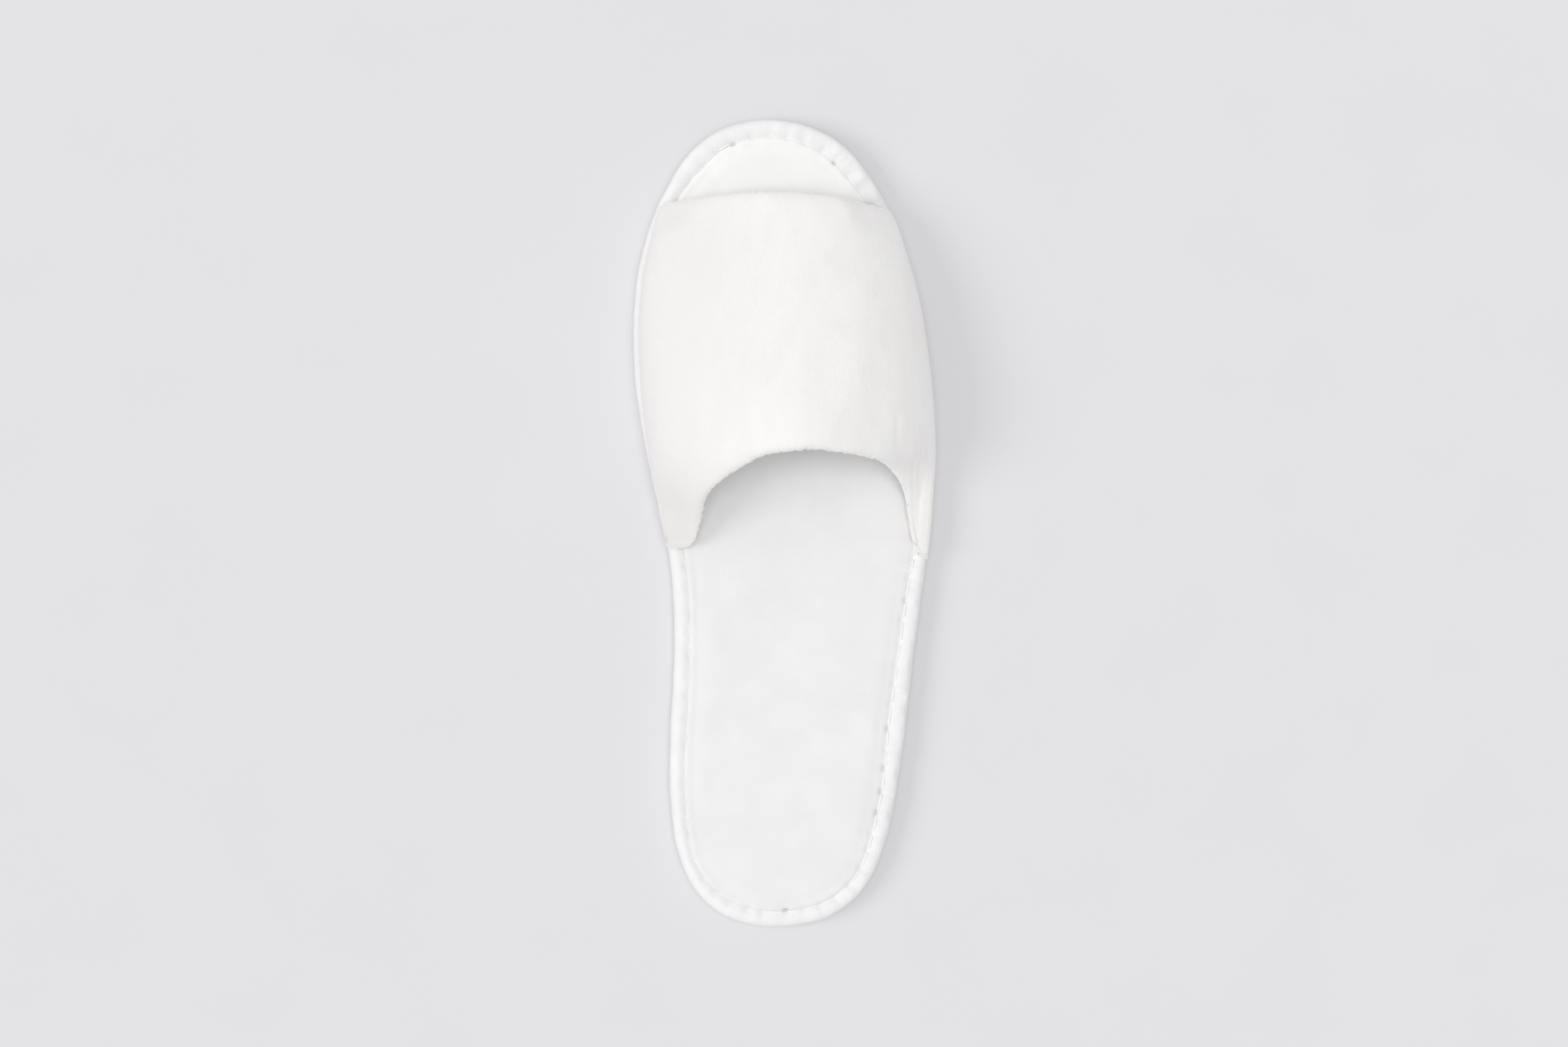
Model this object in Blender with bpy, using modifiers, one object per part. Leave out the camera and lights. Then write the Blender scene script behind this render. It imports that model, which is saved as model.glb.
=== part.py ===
"""Open-toe hotel slipper for the right foot.

Metres, +Z up. The toe points to +Y and the medial side to -X. The origin is on the floor, under the
middle of the slipper's box. Four pieces: a flat-cut foam outsole, a foam insole, a padded vamp as the
upper, and one tape that binds the whole edge and holds the other three together.
"""

from collections import namedtuple
from functools import lru_cache, partial

import bmesh
import bpy
import numpy as np

MM = 0.001

# Driving sizes.
LENGTH = 285 * MM
BALL_WIDTH = 106.7 * MM
INSTEP_HEIGHT = 50 * MM
TOE_OPENING_HEIGHT = 27 * MM
OUTSOLE_THICKNESS = 5 * MM
INSOLE_THICKNESS = 4 * MM
UPPER_WALL = 3 * MM
TOE_SPRING = 3 * MM
GAP = 0.3 * MM

# Where the sole starts to curl up to its toe spring, as a share of the length.
SPRING_START = 0.79

# The stretch where the upper is sewn in, with the run in which the insole is pressed down at each end.
SEWN_BACK = (0.385, 0.425)
SEWN_FRONT = (0.925, 0.965)

# Colour and roughness of each piece.
Finish = namedtuple("Finish", "colour roughness")
FINISHES = {
    "outsole": Finish((0.80, 0.80, 0.79), 0.75),
    "insole": Finish((0.86, 0.86, 0.85), 0.95),
    "upper": Finish((0.90, 0.90, 0.89), 0.95),
    "edge_binding": Finish((0.88, 0.88, 0.87), 0.85),
}
SHARP_ANGLE = 40

# The sole's outline. Station is a share of LENGTH from the heel; medial and lateral are the half widths
# on the two sides of the centre line, as shares of BALL_WIDTH.
OutlineRow = namedtuple("OutlineRow", "station medial lateral")
OUTLINE = (
    OutlineRow(0.016, 0.208, 0.172),
    OutlineRow(0.060, 0.318, 0.289),
    OutlineRow(0.119, 0.366, 0.348),
    OutlineRow(0.200, 0.380, 0.388),
    OutlineRow(0.344, 0.365, 0.435),
    OutlineRow(0.470, 0.386, 0.478),
    OutlineRow(0.596, 0.461, 0.499),
    OutlineRow(0.730, 0.500, 0.470),
    OutlineRow(0.842, 0.466, 0.401),
    OutlineRow(0.919, 0.384, 0.305),
    OutlineRow(0.972, 0.276, 0.185),
)
# How far the outline's two tips lie to the medial side, as shares of BALL_WIDTH.
HEEL_TIP_MEDIAL = 0.011
TOE_TIP_MEDIAL = 0.044
# Points between two knots of the outline.
SPLINE_STEPS = 40

# Half the number of points in each ring of the sole's pieces.
HALF_RING = 48

# Rings of the outsole, from the bottom field out to the margin and back to the top field. The bottom
# margin is pressed up, so that the tape's lower lip lies above the floor.
RingRow = namedtuple("RingRow", "inset height")
OUTSOLE = (
    RingRow(5.8 * MM, 0),
    RingRow(5.8 * MM, 1.5 * MM),
    RingRow(1.8 * MM, 1.6 * MM),
    RingRow(1.8 * MM, 4.6 * MM),
    RingRow(6.5 * MM, 4.6 * MM),
    RingRow(10.5 * MM, OUTSOLE_THICKNESS),
)

# Rings of the insole. The sewn columns hold where the upper's margin is sewn in over it, and the plain
# ones everywhere else.
InsoleRow = namedtuple("InsoleRow", "inset height sewn_inset sewn_height")
INSOLE_BOTTOM = OUTSOLE_THICKNESS + GAP
INSOLE_TOP = INSOLE_BOTTOM + INSOLE_THICKNESS
INSOLE = (
    InsoleRow(10.5 * MM, INSOLE_BOTTOM, 10.5 * MM, INSOLE_BOTTOM),
    InsoleRow(6.5 * MM, 4.9 * MM, 6.5 * MM, 4.9 * MM),
    InsoleRow(2.2 * MM, 4.9 * MM, 2.2 * MM, 4.9 * MM),
    InsoleRow(2.2 * MM, 7.0 * MM, 2.2 * MM, 5.8 * MM),
    InsoleRow(5.9 * MM, 7.0 * MM, 7.4 * MM, 5.8 * MM),
    InsoleRow(8.0 * MM, 8.6 * MM, 9.6 * MM, 7.6 * MM),
    InsoleRow(11.5 * MM, INSOLE_TOP, 13.0 * MM, 9.2 * MM),
    InsoleRow(24.0 * MM, INSOLE_TOP + 0.4 * MM, 25.0 * MM, INSOLE_TOP + 0.4 * MM),
)

# Section of the edge tape: outside from its upper lip round the edge to its lower lip, then back inside.
EDGE_BINDING = (
    RingRow(5.5 * MM, 7.35 * MM),
    RingRow(5.4 * MM, 8.4 * MM),
    RingRow(4.0 * MM, 8.8 * MM),
    RingRow(2.2 * MM, 8.8 * MM),
    RingRow(0.7 * MM, 7.7 * MM),
    RingRow(0, 5.6 * MM),
    RingRow(0, 3.2 * MM),
    RingRow(0.8 * MM, 1.1 * MM),
    RingRow(2.6 * MM, 0.2 * MM),
    RingRow(5.4 * MM, 0.2 * MM),
    RingRow(5.4 * MM, 1.1 * MM),
    RingRow(1.9 * MM, 1.1 * MM),
    RingRow(1.4 * MM, 1.6 * MM),
    RingRow(1.4 * MM, 6.8 * MM),
    RingRow(1.9 * MM, 7.35 * MM),
)

# Sections of the upper along the sole. Crown is the height of its top, as a share of INSTEP_HEIGHT. The
# belly is where a side stands out most: its height, and how far inside the outline it stays. Fullness
# is the power of the section's curve: 1 is a straight lean inwards, 2 an ellipse, more a squarer arch.
UpperRow = namedtuple(
    "UpperRow",
    "station crown belly medial_inset lateral_inset medial_fullness lateral_fullness",
)
TOE_OPENING_SHARE = TOE_OPENING_HEIGHT / INSTEP_HEIGHT
UPPER = (
    UpperRow(0.457, 1.01, 11.5 * MM, 0.6 * MM, 0.7 * MM, 1.10, 1.08),
    UpperRow(0.509, 1.01, 12.0 * MM, 0.3 * MM, 0.3 * MM, 1.25, 1.22),
    UpperRow(0.551, 1.01, 12.8 * MM, 0.6 * MM, 0.6 * MM, 1.60, 1.50),
    UpperRow(0.596, 0.99, 13.5 * MM, 1.4 * MM, 1.0 * MM, 2.05, 1.95),
    UpperRow(0.684, 0.925, 13.8 * MM, 2.6 * MM, 1.2 * MM, 2.25, 2.20),
    UpperRow(0.789, 0.76, 13.5 * MM, 2.8 * MM, 1.3 * MM, 2.25, 2.20),
    UpperRow(0.905, TOE_OPENING_SHARE, 12.5 * MM, 2.8 * MM, 1.9 * MM, 2.10, 2.05),
)

# The upper's path on each side from the sewn margin up to its belly: how far inside the outline the
# middle of the wall lies, its height from the margin (0) to the belly (1), and its share of the wall.
FootRow = namedtuple("FootRow", "inset rise wall")
MARGIN_HEIGHT = 6.55 * MM
FOOT = (
    FootRow(2.0 * MM, 0.00, 0.28),
    FootRow(6.2 * MM, 0.00, 0.28),
    FootRow(7.5 * MM, 0.12, 0.45),
    FootRow(7.7 * MM, 0.38, 0.60),
    FootRow(6.2 * MM, 0.70, 0.80),
)

# The collar's edge: the angle round the upper's arch, from the medial belly over the crown at 90 to the
# lateral belly, and the station where the upper ends there. Its legs run back to the arch of the foot.
CollarRow = namedtuple("CollarRow", "angle station")
COLLAR = (
    CollarRow(0, 0.469),
    CollarRow(22, 0.470),
    CollarRow(26, 0.478),
    CollarRow(30, 0.500),
    CollarRow(36, 0.524),
    CollarRow(46, 0.544),
    CollarRow(63, 0.568),
    CollarRow(78, 0.584),
    CollarRow(95, 0.590),
    CollarRow(110, 0.585),
    CollarRow(130, 0.573),
    CollarRow(138, 0.562),
    CollarRow(144, 0.534),
    CollarRow(152, 0.492),
    CollarRow(160, 0.468),
    CollarRow(180, 0.457),
)
ARCH_ANGLES = (*range(0, 20, 5), *range(18, 162, 4), *range(165, 181, 5))

# The toe edge is almost straight: its station on the crown, and how far back it drops at the sides.
TOE_EDGE_STATION = 0.9035
TOE_EDGE_DROP_MEDIAL = 0.011
TOE_EDGE_DROP_LATERAL = 0.017

# Rows of the upper from toe edge to collar, as shares, and the share of the wall at each: both hems
# taper to a round nose.
HEM_ROWS = ((0, 0.30), (0.006, 0.74), (0.016, 0.96))
PLAIN_ROWS = np.linspace(0.045, 0.955, 13)


def smooth_step(value, start, end):
    """0 before start, 1 after end, and a soft rise between them."""
    share = np.clip((value - start) / (end - start), 0, 1)
    return share * share * (3 - 2 * share)


def smooth_table(knots, values, at):
    """The value at a place on the smooth curve through a table, which never swings past its rows."""
    step = np.diff(knots)
    secant = np.diff(values) / step
    slope = np.zeros(len(knots))
    slope[0] = secant[0]
    slope[-1] = secant[-1]
    for i in range(1, len(secant)):
        if secant[i - 1] * secant[i] > 0:
            slope[i] = 2 * secant[i - 1] * secant[i] / (secant[i - 1] + secant[i])
    i = int(np.clip(np.searchsorted(knots, at) - 1, 0, len(secant) - 1))
    t = np.clip((at - knots[i]) / step[i], 0, 1)
    return (
        (2 * t**3 - 3 * t**2 + 1) * values[i]
        + (t**3 - 2 * t**2 + t) * step[i] * slope[i]
        + (3 * t**2 - 2 * t**3) * values[i + 1]
        + (t**3 - t**2) * step[i] * slope[i + 1]
    )


def closed_spline(knots, steps):
    """Points on the smooth closed curve through the knots, with no jump in slope or bend."""
    count = len(knots)
    after = np.roll(knots, -1, axis=0)
    chord = np.linalg.norm(after - knots, axis=1)
    slope = (after - knots) / chord[:, None]
    matrix = np.zeros((count, count))
    target = np.zeros_like(knots)
    for i in range(count):
        matrix[i, i - 1] += chord[i]
        matrix[i, i] += 2 * (chord[i - 1] + chord[i])
        matrix[i, (i + 1) % count] += chord[i - 1]
        target[i] = 3 * (chord[i] * slope[i - 1] + chord[i - 1] * slope[i])
    tangent = np.linalg.solve(matrix, target)
    t = np.linspace(0, 1, steps, endpoint=False)[:, None]
    spans = []
    for i in range(count):
        j = (i + 1) % count
        spans.append(
            (2 * t**3 - 3 * t**2 + 1) * knots[i]
            + (t**3 - 2 * t**2 + t) * chord[i] * tangent[i]
            + (3 * t**2 - 2 * t**3) * knots[j]
            + (t**3 - t**2) * chord[i] * tangent[j]
        )
    return np.concatenate(spans)


@lru_cache(maxsize=None)
def outline():
    """The sole's outline as dense points, counter-clockwise from above, centred on the origin."""
    lateral = [(row.lateral * BALL_WIDTH, row.station * LENGTH) for row in OUTLINE]
    medial = [(-row.medial * BALL_WIDTH, row.station * LENGTH) for row in OUTLINE]
    heel_tip = (-HEEL_TIP_MEDIAL * BALL_WIDTH, 0)
    toe_tip = (-TOE_TIP_MEDIAL * BALL_WIDTH, LENGTH)
    knots = np.array([heel_tip, *lateral, toe_tip, *reversed(medial)])
    curve = closed_spline(knots, SPLINE_STEPS)
    return curve - (curve.min(axis=0) + curve.max(axis=0)) / 2


@lru_cache(maxsize=None)
def edge_runs(inset):
    """The outline moved inwards, as its medial and its lateral run from heel to toe."""
    curve = outline()
    along = np.roll(curve, -1, axis=0) - np.roll(curve, 1, axis=0)
    along /= np.linalg.norm(along, axis=1)[:, None]
    moved = curve + inset * np.column_stack([-along[:, 1], along[:, 0]])
    moved = np.roll(moved, -int(moved[:, 1].argmin()), axis=0)
    toe = int(moved[:, 1].argmax())
    lateral = moved[: toe + 1]
    medial = np.concatenate([moved[toe:], moved[:1]])[::-1]
    return medial, lateral


def side_x(side, y, inset):
    """X of the outline moved inwards by the inset, at y: side 0 is medial and 1 lateral."""
    run = edge_runs(inset)[side]
    return np.interp(y, run[:, 1], run[:, 0])


def ring(inset):
    """The outline moved inwards, as points at the same stations on both sides."""
    medial, lateral = edge_runs(inset)
    heel, toe = lateral[0, 1], lateral[-1, 1]
    turn = np.linspace(0, np.pi, HALF_RING + 1)
    y = heel + (toe - heel) * (1 - np.cos(turn)) / 2
    right = np.column_stack([np.interp(y, lateral[:, 1], lateral[:, 0]), y])
    left = np.column_stack([np.interp(y, medial[:, 1], medial[:, 0]), y])
    return np.concatenate([right, left[-2:0:-1]])


def station_y(station):
    return (station - 0.5) * LENGTH


def lift(y):
    """How far the whole slipper is raised at y by its toe spring."""
    start = station_y(SPRING_START)
    return TOE_SPRING * np.clip((y - start) / (LENGTH / 2 - start), 0, 1) ** 2


def sewn(y):
    """1 where the upper's margin is sewn in over the insole, 0 elsewhere."""
    station = y / LENGTH + 0.5
    return smooth_step(station, *SEWN_BACK) * (1 - smooth_step(station, *SEWN_FRONT))


def raised(flat, height):
    """Points on the sole's plan at a height, with the toe spring added."""
    return np.column_stack([flat, height + lift(flat[:, 1])])


def new_object(name, vertices, faces):
    """A closed or open mesh object with its own material, in the slipper's collection."""
    mesh = bpy.data.meshes.new(name)
    mesh.from_pydata([tuple(vertex) for vertex in vertices], [], faces)
    edit = bmesh.new()
    edit.from_mesh(mesh)
    bmesh.ops.recalc_face_normals(edit, faces=edit.faces)
    edit.to_mesh(mesh)
    edit.free()
    mesh.shade_smooth()
    mesh.set_sharp_from_angle(angle=np.radians(SHARP_ANGLE))
    finish = FINISHES[name]
    material = bpy.data.materials.new(name)
    material.use_nodes = True
    shader = material.node_tree.nodes["Principled BSDF"]
    shader.inputs["Base Color"].default_value = (*finish.colour, 1)
    shader.inputs["Roughness"].default_value = finish.roughness
    shader.inputs["Metallic"].default_value = 0
    mesh.materials.append(material)
    made = bpy.data.objects.new(name, mesh)
    bpy.data.collections["hotel_slipper"].objects.link(made)
    return made


def bridge(first, second):
    """Faces between two rings of the same number of points, given as lists of indices."""
    count = len(first)
    return [
        (first[i], first[(i + 1) % count], second[(i + 1) % count], second[i])
        for i in range(count)
    ]


def ladder(indices):
    """Faces across one ring, from side to side at each station, with a triangle at heel and toe."""
    count = len(indices)
    half = count // 2
    faces = [(indices[0], indices[1], indices[-1])]
    for i in range(1, half - 1):
        faces.append((indices[i], indices[i + 1], indices[count - i - 1], indices[count - i]))
    faces.append((indices[half - 1], indices[half], indices[half + 1]))
    return faces


def add_layered(name, rings):
    """A solid through rings from its bottom field to its top field, closed across both."""
    size = len(rings[0])
    indices = np.arange(size * len(rings)).reshape(len(rings), size).tolist()
    faces = ladder(indices[0]) + ladder(indices[-1])
    for lower, upper in zip(indices, indices[1:]):
        faces += bridge(lower, upper)
    return new_object(name, np.concatenate(rings), faces)


def add_outsole():
    rings = [raised(ring(row.inset), row.height) for row in OUTSOLE]
    return add_layered("outsole", rings)


def add_insole():
    rings = []
    for row in INSOLE:
        plain = raised(ring(row.inset), row.height)
        pressed = raised(ring(row.sewn_inset), row.sewn_height)
        share = sewn(plain[:, 1])[:, None]
        rings.append(plain + share * (pressed - plain))
    return add_layered("insole", rings)


def add_edge_binding():
    """The tape's section carried round the whole edge."""
    rings = [raised(ring(row.inset), row.height) for row in EDGE_BINDING]
    size = len(rings[0])
    indices = np.arange(size * len(rings)).reshape(len(rings), size).tolist()
    faces = []
    for here, there in zip(indices, indices[1:] + indices[:1]):
        faces += bridge(here, there)
    return new_object("edge_binding", np.concatenate(rings), faces)


def upper_value(column, y):
    """A column of the upper's table of sections, at y."""
    stations = [row.station for row in UPPER]
    values = [getattr(row, column) for row in UPPER]
    return smooth_table(stations, values, y / LENGTH + 0.5)


def foot_point(side, row, y):
    """A point of the upper between its sewn margin and its belly."""
    belly = upper_value("belly", y)
    height = MARGIN_HEIGHT + row.rise * (belly - MARGIN_HEIGHT)
    return side_x(side, y, row.inset), y, height


def arch_point(angle, y):
    """A point of the upper's arch. The angle goes from the medial belly over the crown at 90 degrees."""
    medial = side_x(0, y, 0) + upper_value("medial_inset", y) + UPPER_WALL / 2
    lateral = side_x(1, y, 0) - upper_value("lateral_inset", y) - UPPER_WALL / 2
    middle = (medial + lateral) / 2
    half = (lateral - medial) / 2
    belly = upper_value("belly", y)
    crown = upper_value("crown", y) * INSTEP_HEIGHT - UPPER_WALL / 2
    fullness = upper_value("medial_fullness" if angle < 90 else "lateral_fullness", y)
    turn = np.radians(angle)
    reach = np.sign(90 - angle) * abs(np.cos(turn)) ** (2 / fullness)
    rise = abs(np.sin(turn)) ** (2 / fullness)
    return middle - half * reach, y, belly + rise * (crown - belly)


def toe_edge_y(angle):
    drop = TOE_EDGE_DROP_MEDIAL if angle < 90 else TOE_EDGE_DROP_LATERAL
    return station_y(TOE_EDGE_STATION - drop * np.cos(np.radians(angle)) ** 2)


def collar_y(angle):
    angles = [row.angle for row in COLLAR]
    stations = [row.station for row in COLLAR]
    return station_y(smooth_table(angles, stations, angle))


# One column of the upper's grid: where it starts and ends, its share of the wall, and its point at a y.
Column = namedtuple("Column", "toe collar wall point")


def upper_columns():
    """The upper's columns from the medial margin over the crown to the lateral margin."""
    arch = [
        Column(toe_edge_y(angle), collar_y(angle), 1, partial(arch_point, angle))
        for angle in ARCH_ANGLES
    ]
    medial, lateral = [
        [Column(belly.toe, belly.collar, row.wall, partial(foot_point, side, row)) for row in FOOT]
        for side, belly in enumerate((arch[0], arch[-1]))
    ]
    return medial + arch + lateral[::-1]


def add_upper():
    """The vamp: the middle surface of its wall as a grid, given its thickness on both sides."""
    back_hem = [(1 - share, wall) for share, wall in reversed(HEM_ROWS)]
    rows = [*HEM_ROWS, *((share, 1) for share in PLAIN_ROWS), *back_hem]
    columns = upper_columns()
    vertices = []
    walls = []
    for share, row_wall in rows:
        for column in columns:
            x, y, z = column.point(column.toe + share * (column.collar - column.toe))
            vertices.append((x, y, z + lift(y)))
            walls.append(min(column.wall, row_wall))
    width = len(columns)
    faces = [
        (i * width + j, i * width + j + 1, (i + 1) * width + j + 1, (i + 1) * width + j)
        for i in range(len(rows) - 1)
        for j in range(width - 1)
    ]
    upper = new_object("upper", vertices, faces)
    group = upper.vertex_groups.new(name="wall")
    for index, wall in enumerate(walls):
        group.add([index], wall, "REPLACE")
    shell = upper.modifiers.new("wall", "SOLIDIFY")
    shell.thickness = UPPER_WALL
    shell.offset = 0
    shell.vertex_group = "wall"
    shell.thickness_vertex_group = 0
    return upper


def main():
    for old in list(bpy.data.objects):
        bpy.data.objects.remove(old, do_unlink=True)
    collection = bpy.data.collections.new("hotel_slipper")
    bpy.context.scene.collection.children.link(collection)
    add_outsole()
    add_insole()
    add_upper()
    add_edge_binding()


main()
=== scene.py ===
"""Open-toe hotel slipper for the right foot: its cloth, padding, edge tape, stitches and nap.

Metres, +Z up. The toe points to +Y and the medial side to -X, and the origin is on the floor under the
middle of the slipper's box. The footbed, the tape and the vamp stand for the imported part's insole, edge
binding and upper; the outsole is shown as it is. The camera looks down from just beside the medial edge.
"""

import math
from functools import partial

import bmesh
import bpy
import numpy as np
from mathutils import Matrix, Vector, noise


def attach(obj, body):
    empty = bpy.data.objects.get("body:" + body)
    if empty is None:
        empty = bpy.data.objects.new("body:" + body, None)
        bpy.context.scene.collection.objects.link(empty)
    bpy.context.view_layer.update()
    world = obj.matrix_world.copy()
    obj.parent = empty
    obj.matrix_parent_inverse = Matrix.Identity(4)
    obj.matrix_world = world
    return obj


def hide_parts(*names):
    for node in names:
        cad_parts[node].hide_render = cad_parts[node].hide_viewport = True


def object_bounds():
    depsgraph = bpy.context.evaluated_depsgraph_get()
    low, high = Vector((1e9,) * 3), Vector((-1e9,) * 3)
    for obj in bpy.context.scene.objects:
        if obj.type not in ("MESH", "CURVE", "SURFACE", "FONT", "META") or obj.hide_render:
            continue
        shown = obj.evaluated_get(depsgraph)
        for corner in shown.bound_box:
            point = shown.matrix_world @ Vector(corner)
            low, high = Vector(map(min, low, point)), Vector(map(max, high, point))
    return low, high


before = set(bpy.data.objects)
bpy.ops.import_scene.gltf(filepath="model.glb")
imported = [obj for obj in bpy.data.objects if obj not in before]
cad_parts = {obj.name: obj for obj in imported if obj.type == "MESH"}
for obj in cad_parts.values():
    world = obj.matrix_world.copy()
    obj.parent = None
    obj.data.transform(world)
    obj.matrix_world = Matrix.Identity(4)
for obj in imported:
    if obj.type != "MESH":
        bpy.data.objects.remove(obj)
CAD_LOW, CAD_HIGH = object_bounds()

MM = 0.001
LENGTH = CAD_HIGH.y - CAD_LOW.y
INSTEP_HEIGHT = 50 * MM
TOE_OPENING_HEIGHT = 27 * MM
UPPER_WALL = 3 * MM
TOE_SPRING = 3 * MM
# Height of the vamp's sewn margin, and height at which the edge tape stands out furthest.
MARGIN_HEIGHT = 6.55 * MM
EDGE_HEIGHT = 3.2 * MM
# Stations are shares of the length, from the heel: where the toe spring starts, and the runs over which
# the vamp's margin goes in between footbed and tape, at its back and at its front.
SPRING_START = 0.79
SEWN_BACK = (0.515, 0.555)
SEWN_FRONT = (0.872, 0.902)

rng = np.random.default_rng(27)


# Curves.


def smooth_step(value, start, end):
    """0 before start, 1 after end, and a soft rise between them."""
    share = np.clip((value - start) / (end - start), 0, 1)
    return share * share * (3 - 2 * share)


def bell(value, width):
    """1 at 0, fading to 0 on both sides."""
    return np.exp(-((value / width) ** 2))


def quarter_round(share):
    """0 at 0, rising steeply and rounding off to 1 at 1."""
    return np.sqrt(1 - (1 - np.clip(share, 0, 1)) ** 2)


def unit(vectors):
    return vectors / np.linalg.norm(vectors, axis=-1)[..., None]


def between_knots(t, span, start, end, start_slope, end_slope):
    """The curve from one knot to the next, at shares of the span between them."""
    return (
        (2 * t**3 - 3 * t**2 + 1) * start
        + (t**3 - 2 * t**2 + t) * span * start_slope
        + (3 * t**2 - 2 * t**3) * end
        + (t**3 - t**2) * span * end_slope
    )


def smooth_table(knots, values, at):
    """The value at a place on the smooth curve through a table, which never swings past its rows."""
    step = np.diff(knots)
    secant = np.diff(values) / step
    slope = np.zeros(len(knots))
    slope[0] = secant[0]
    slope[-1] = secant[-1]
    for i in range(1, len(secant)):
        if secant[i - 1] * secant[i] > 0:
            slope[i] = 2 * secant[i - 1] * secant[i] / (secant[i - 1] + secant[i])
    i = np.clip(np.searchsorted(knots, at) - 1, 0, len(secant) - 1)
    knots, values = np.asarray(knots), np.asarray(values)
    t = np.clip((at - knots[i]) / step[i], 0, 1)
    return between_knots(t, step[i], values[i], values[i + 1], slope[i], slope[i + 1])


def spline(knots, values, at, closed=False):
    """Values at places on the curve through the knots that has no jump in slope or bend."""
    step = np.diff(knots)
    count = len(knots) - 1 if closed else len(knots)
    secant = np.diff(values, axis=0) / step.reshape(-1, *[1] * (values.ndim - 1))
    matrix = np.zeros((count, count))
    target = np.zeros((count, *values.shape[1:]))
    for i in range(count):
        before, after = step[i - 1], step[i % len(step)]
        if not closed and i in (0, count - 1):
            matrix[i, i] = 2
            matrix[i, 1 if i == 0 else i - 1] = 1
            target[i] = 3 * secant[0 if i == 0 else -1]
            continue
        matrix[i, i - 1] += after
        matrix[i, i] += 2 * (before + after)
        matrix[i, (i + 1) % count] += before
        target[i] = 3 * (after * secant[i - 1] + before * secant[i])
    slope = np.linalg.solve(matrix, target.reshape(count, -1)).reshape(target.shape)
    if closed:
        slope = np.concatenate([slope, slope[:1]])
    i = np.clip(np.searchsorted(knots, at, side="right") - 1, 0, len(step) - 1)
    shape = (-1, *[1] * (values.ndim - 1))
    t = ((at - knots[i]) / step[i]).reshape(shape)
    return between_knots(t, step[i].reshape(shape), values[i], values[i + 1], slope[i], slope[i + 1])


def chords(points):
    """Length along a run of points, from 0."""
    return np.concatenate([[0], np.cumsum(np.linalg.norm(np.diff(points, axis=0), axis=1))])


# The last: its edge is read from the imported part, and the vamp's sections stand over it.

OUTLINE_STEPS = 4000


def station_y(station):
    return (station - 0.5) * LENGTH


def lift(y):
    """How far the whole slipper is raised at y by its toe spring."""
    start = station_y(SPRING_START)
    return TOE_SPRING * np.clip((y - start) / (LENGTH / 2 - start), 0, 1) ** 2


def raise_plan(plan, height):
    """Points over places in plan. Heights are counted from the floor before the toe spring lifts it."""
    return np.concatenate([plan, (height + lift(plan[..., 1]))[..., None]], axis=-1)


def sewn(y):
    """1 where the vamp's margin is sewn in over the insole, 0 elsewhere."""
    station = y / LENGTH + 0.5
    return smooth_step(station, *SEWN_BACK) * (1 - smooth_step(station, *SEWN_FRONT))


def read_outline():
    """The slipper's edge in plan, counter-clockwise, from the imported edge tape's widest ring."""
    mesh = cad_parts["edge_binding"].data
    points = np.array([v.co for v in mesh.vertices])
    level = points[:, 2] - lift(points[:, 1])
    on_ring = abs(level - EDGE_HEIGHT) < 0.05 * MM
    ring = np.unique(np.round(points[on_ring][:, :2], 6), axis=0)
    # The ring starts at the heel.
    turn = np.arctan2(ring[:, 1], ring[:, 0])
    ring = ring[np.argsort((turn + math.pi / 2) % (2 * math.pi))]
    ring = np.concatenate([ring, ring[:1]])
    along = chords(ring)
    fine = spline(along, ring, np.linspace(0, along[-1], OUTLINE_STEPS + 1), closed=True)
    return chords(fine), fine


EDGE_ALONG, EDGE_POINTS = read_outline()
EDGE_LENGTH = EDGE_ALONG[-1]
heading = np.gradient(EDGE_POINTS, axis=0)
heading[[0, -1]] = (EDGE_POINTS[1] - EDGE_POINTS[-2]) / 2
heading /= np.linalg.norm(heading, axis=1)[:, None]
EDGE_INWARD = np.column_stack([-heading[:, 1], heading[:, 0]])


def on_edge(along, inset):
    """Plan points at a length along the slipper's edge, moved inwards."""
    along = np.asarray(along) % EDGE_LENGTH
    point = np.stack([np.interp(along, EDGE_ALONG, EDGE_POINTS[:, k]) for k in (0, 1)], axis=-1)
    inward = np.stack([np.interp(along, EDGE_ALONG, EDGE_INWARD[:, k]) for k in (0, 1)], axis=-1)
    return point + np.asarray(inset)[..., None] * inward


def edge_distance(plan):
    """How far inside the slipper's edge each plan point lies."""
    least = np.full(len(plan), np.inf)
    batch = 100
    for start in range(0, len(EDGE_POINTS), batch):
        step = plan[:, None] - EDGE_POINTS[None, start : start + batch]
        least = np.minimum(least, np.sqrt((step**2).sum(axis=2)).min(axis=1))
    return least


def edge_runs(inset):
    """The outline moved inwards, as its medial and its lateral run from heel to toe."""
    moved = on_edge(EDGE_ALONG[:-1], np.full(len(EDGE_ALONG) - 1, inset))
    moved = np.roll(moved, -int(moved[:, 1].argmin()), axis=0)
    toe = int(moved[:, 1].argmax())
    return np.concatenate([moved[toe:], moved[:1]])[::-1], moved[: toe + 1]


RUNS = {}


def side_x(side, y, inset):
    """X of the outline moved inwards by the inset, at y: side 0 is medial and 1 lateral."""
    if inset not in RUNS:
        RUNS[inset] = edge_runs(inset)
    run = RUNS[inset][side]
    return np.interp(y, run[:, 1], run[:, 0])


def inset_from(side, places):
    """How far inside one side's edge points lie, straight across."""
    return (1 - 2 * side) * (places[..., 0] - side_x(side, places[..., 1], 0))


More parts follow.
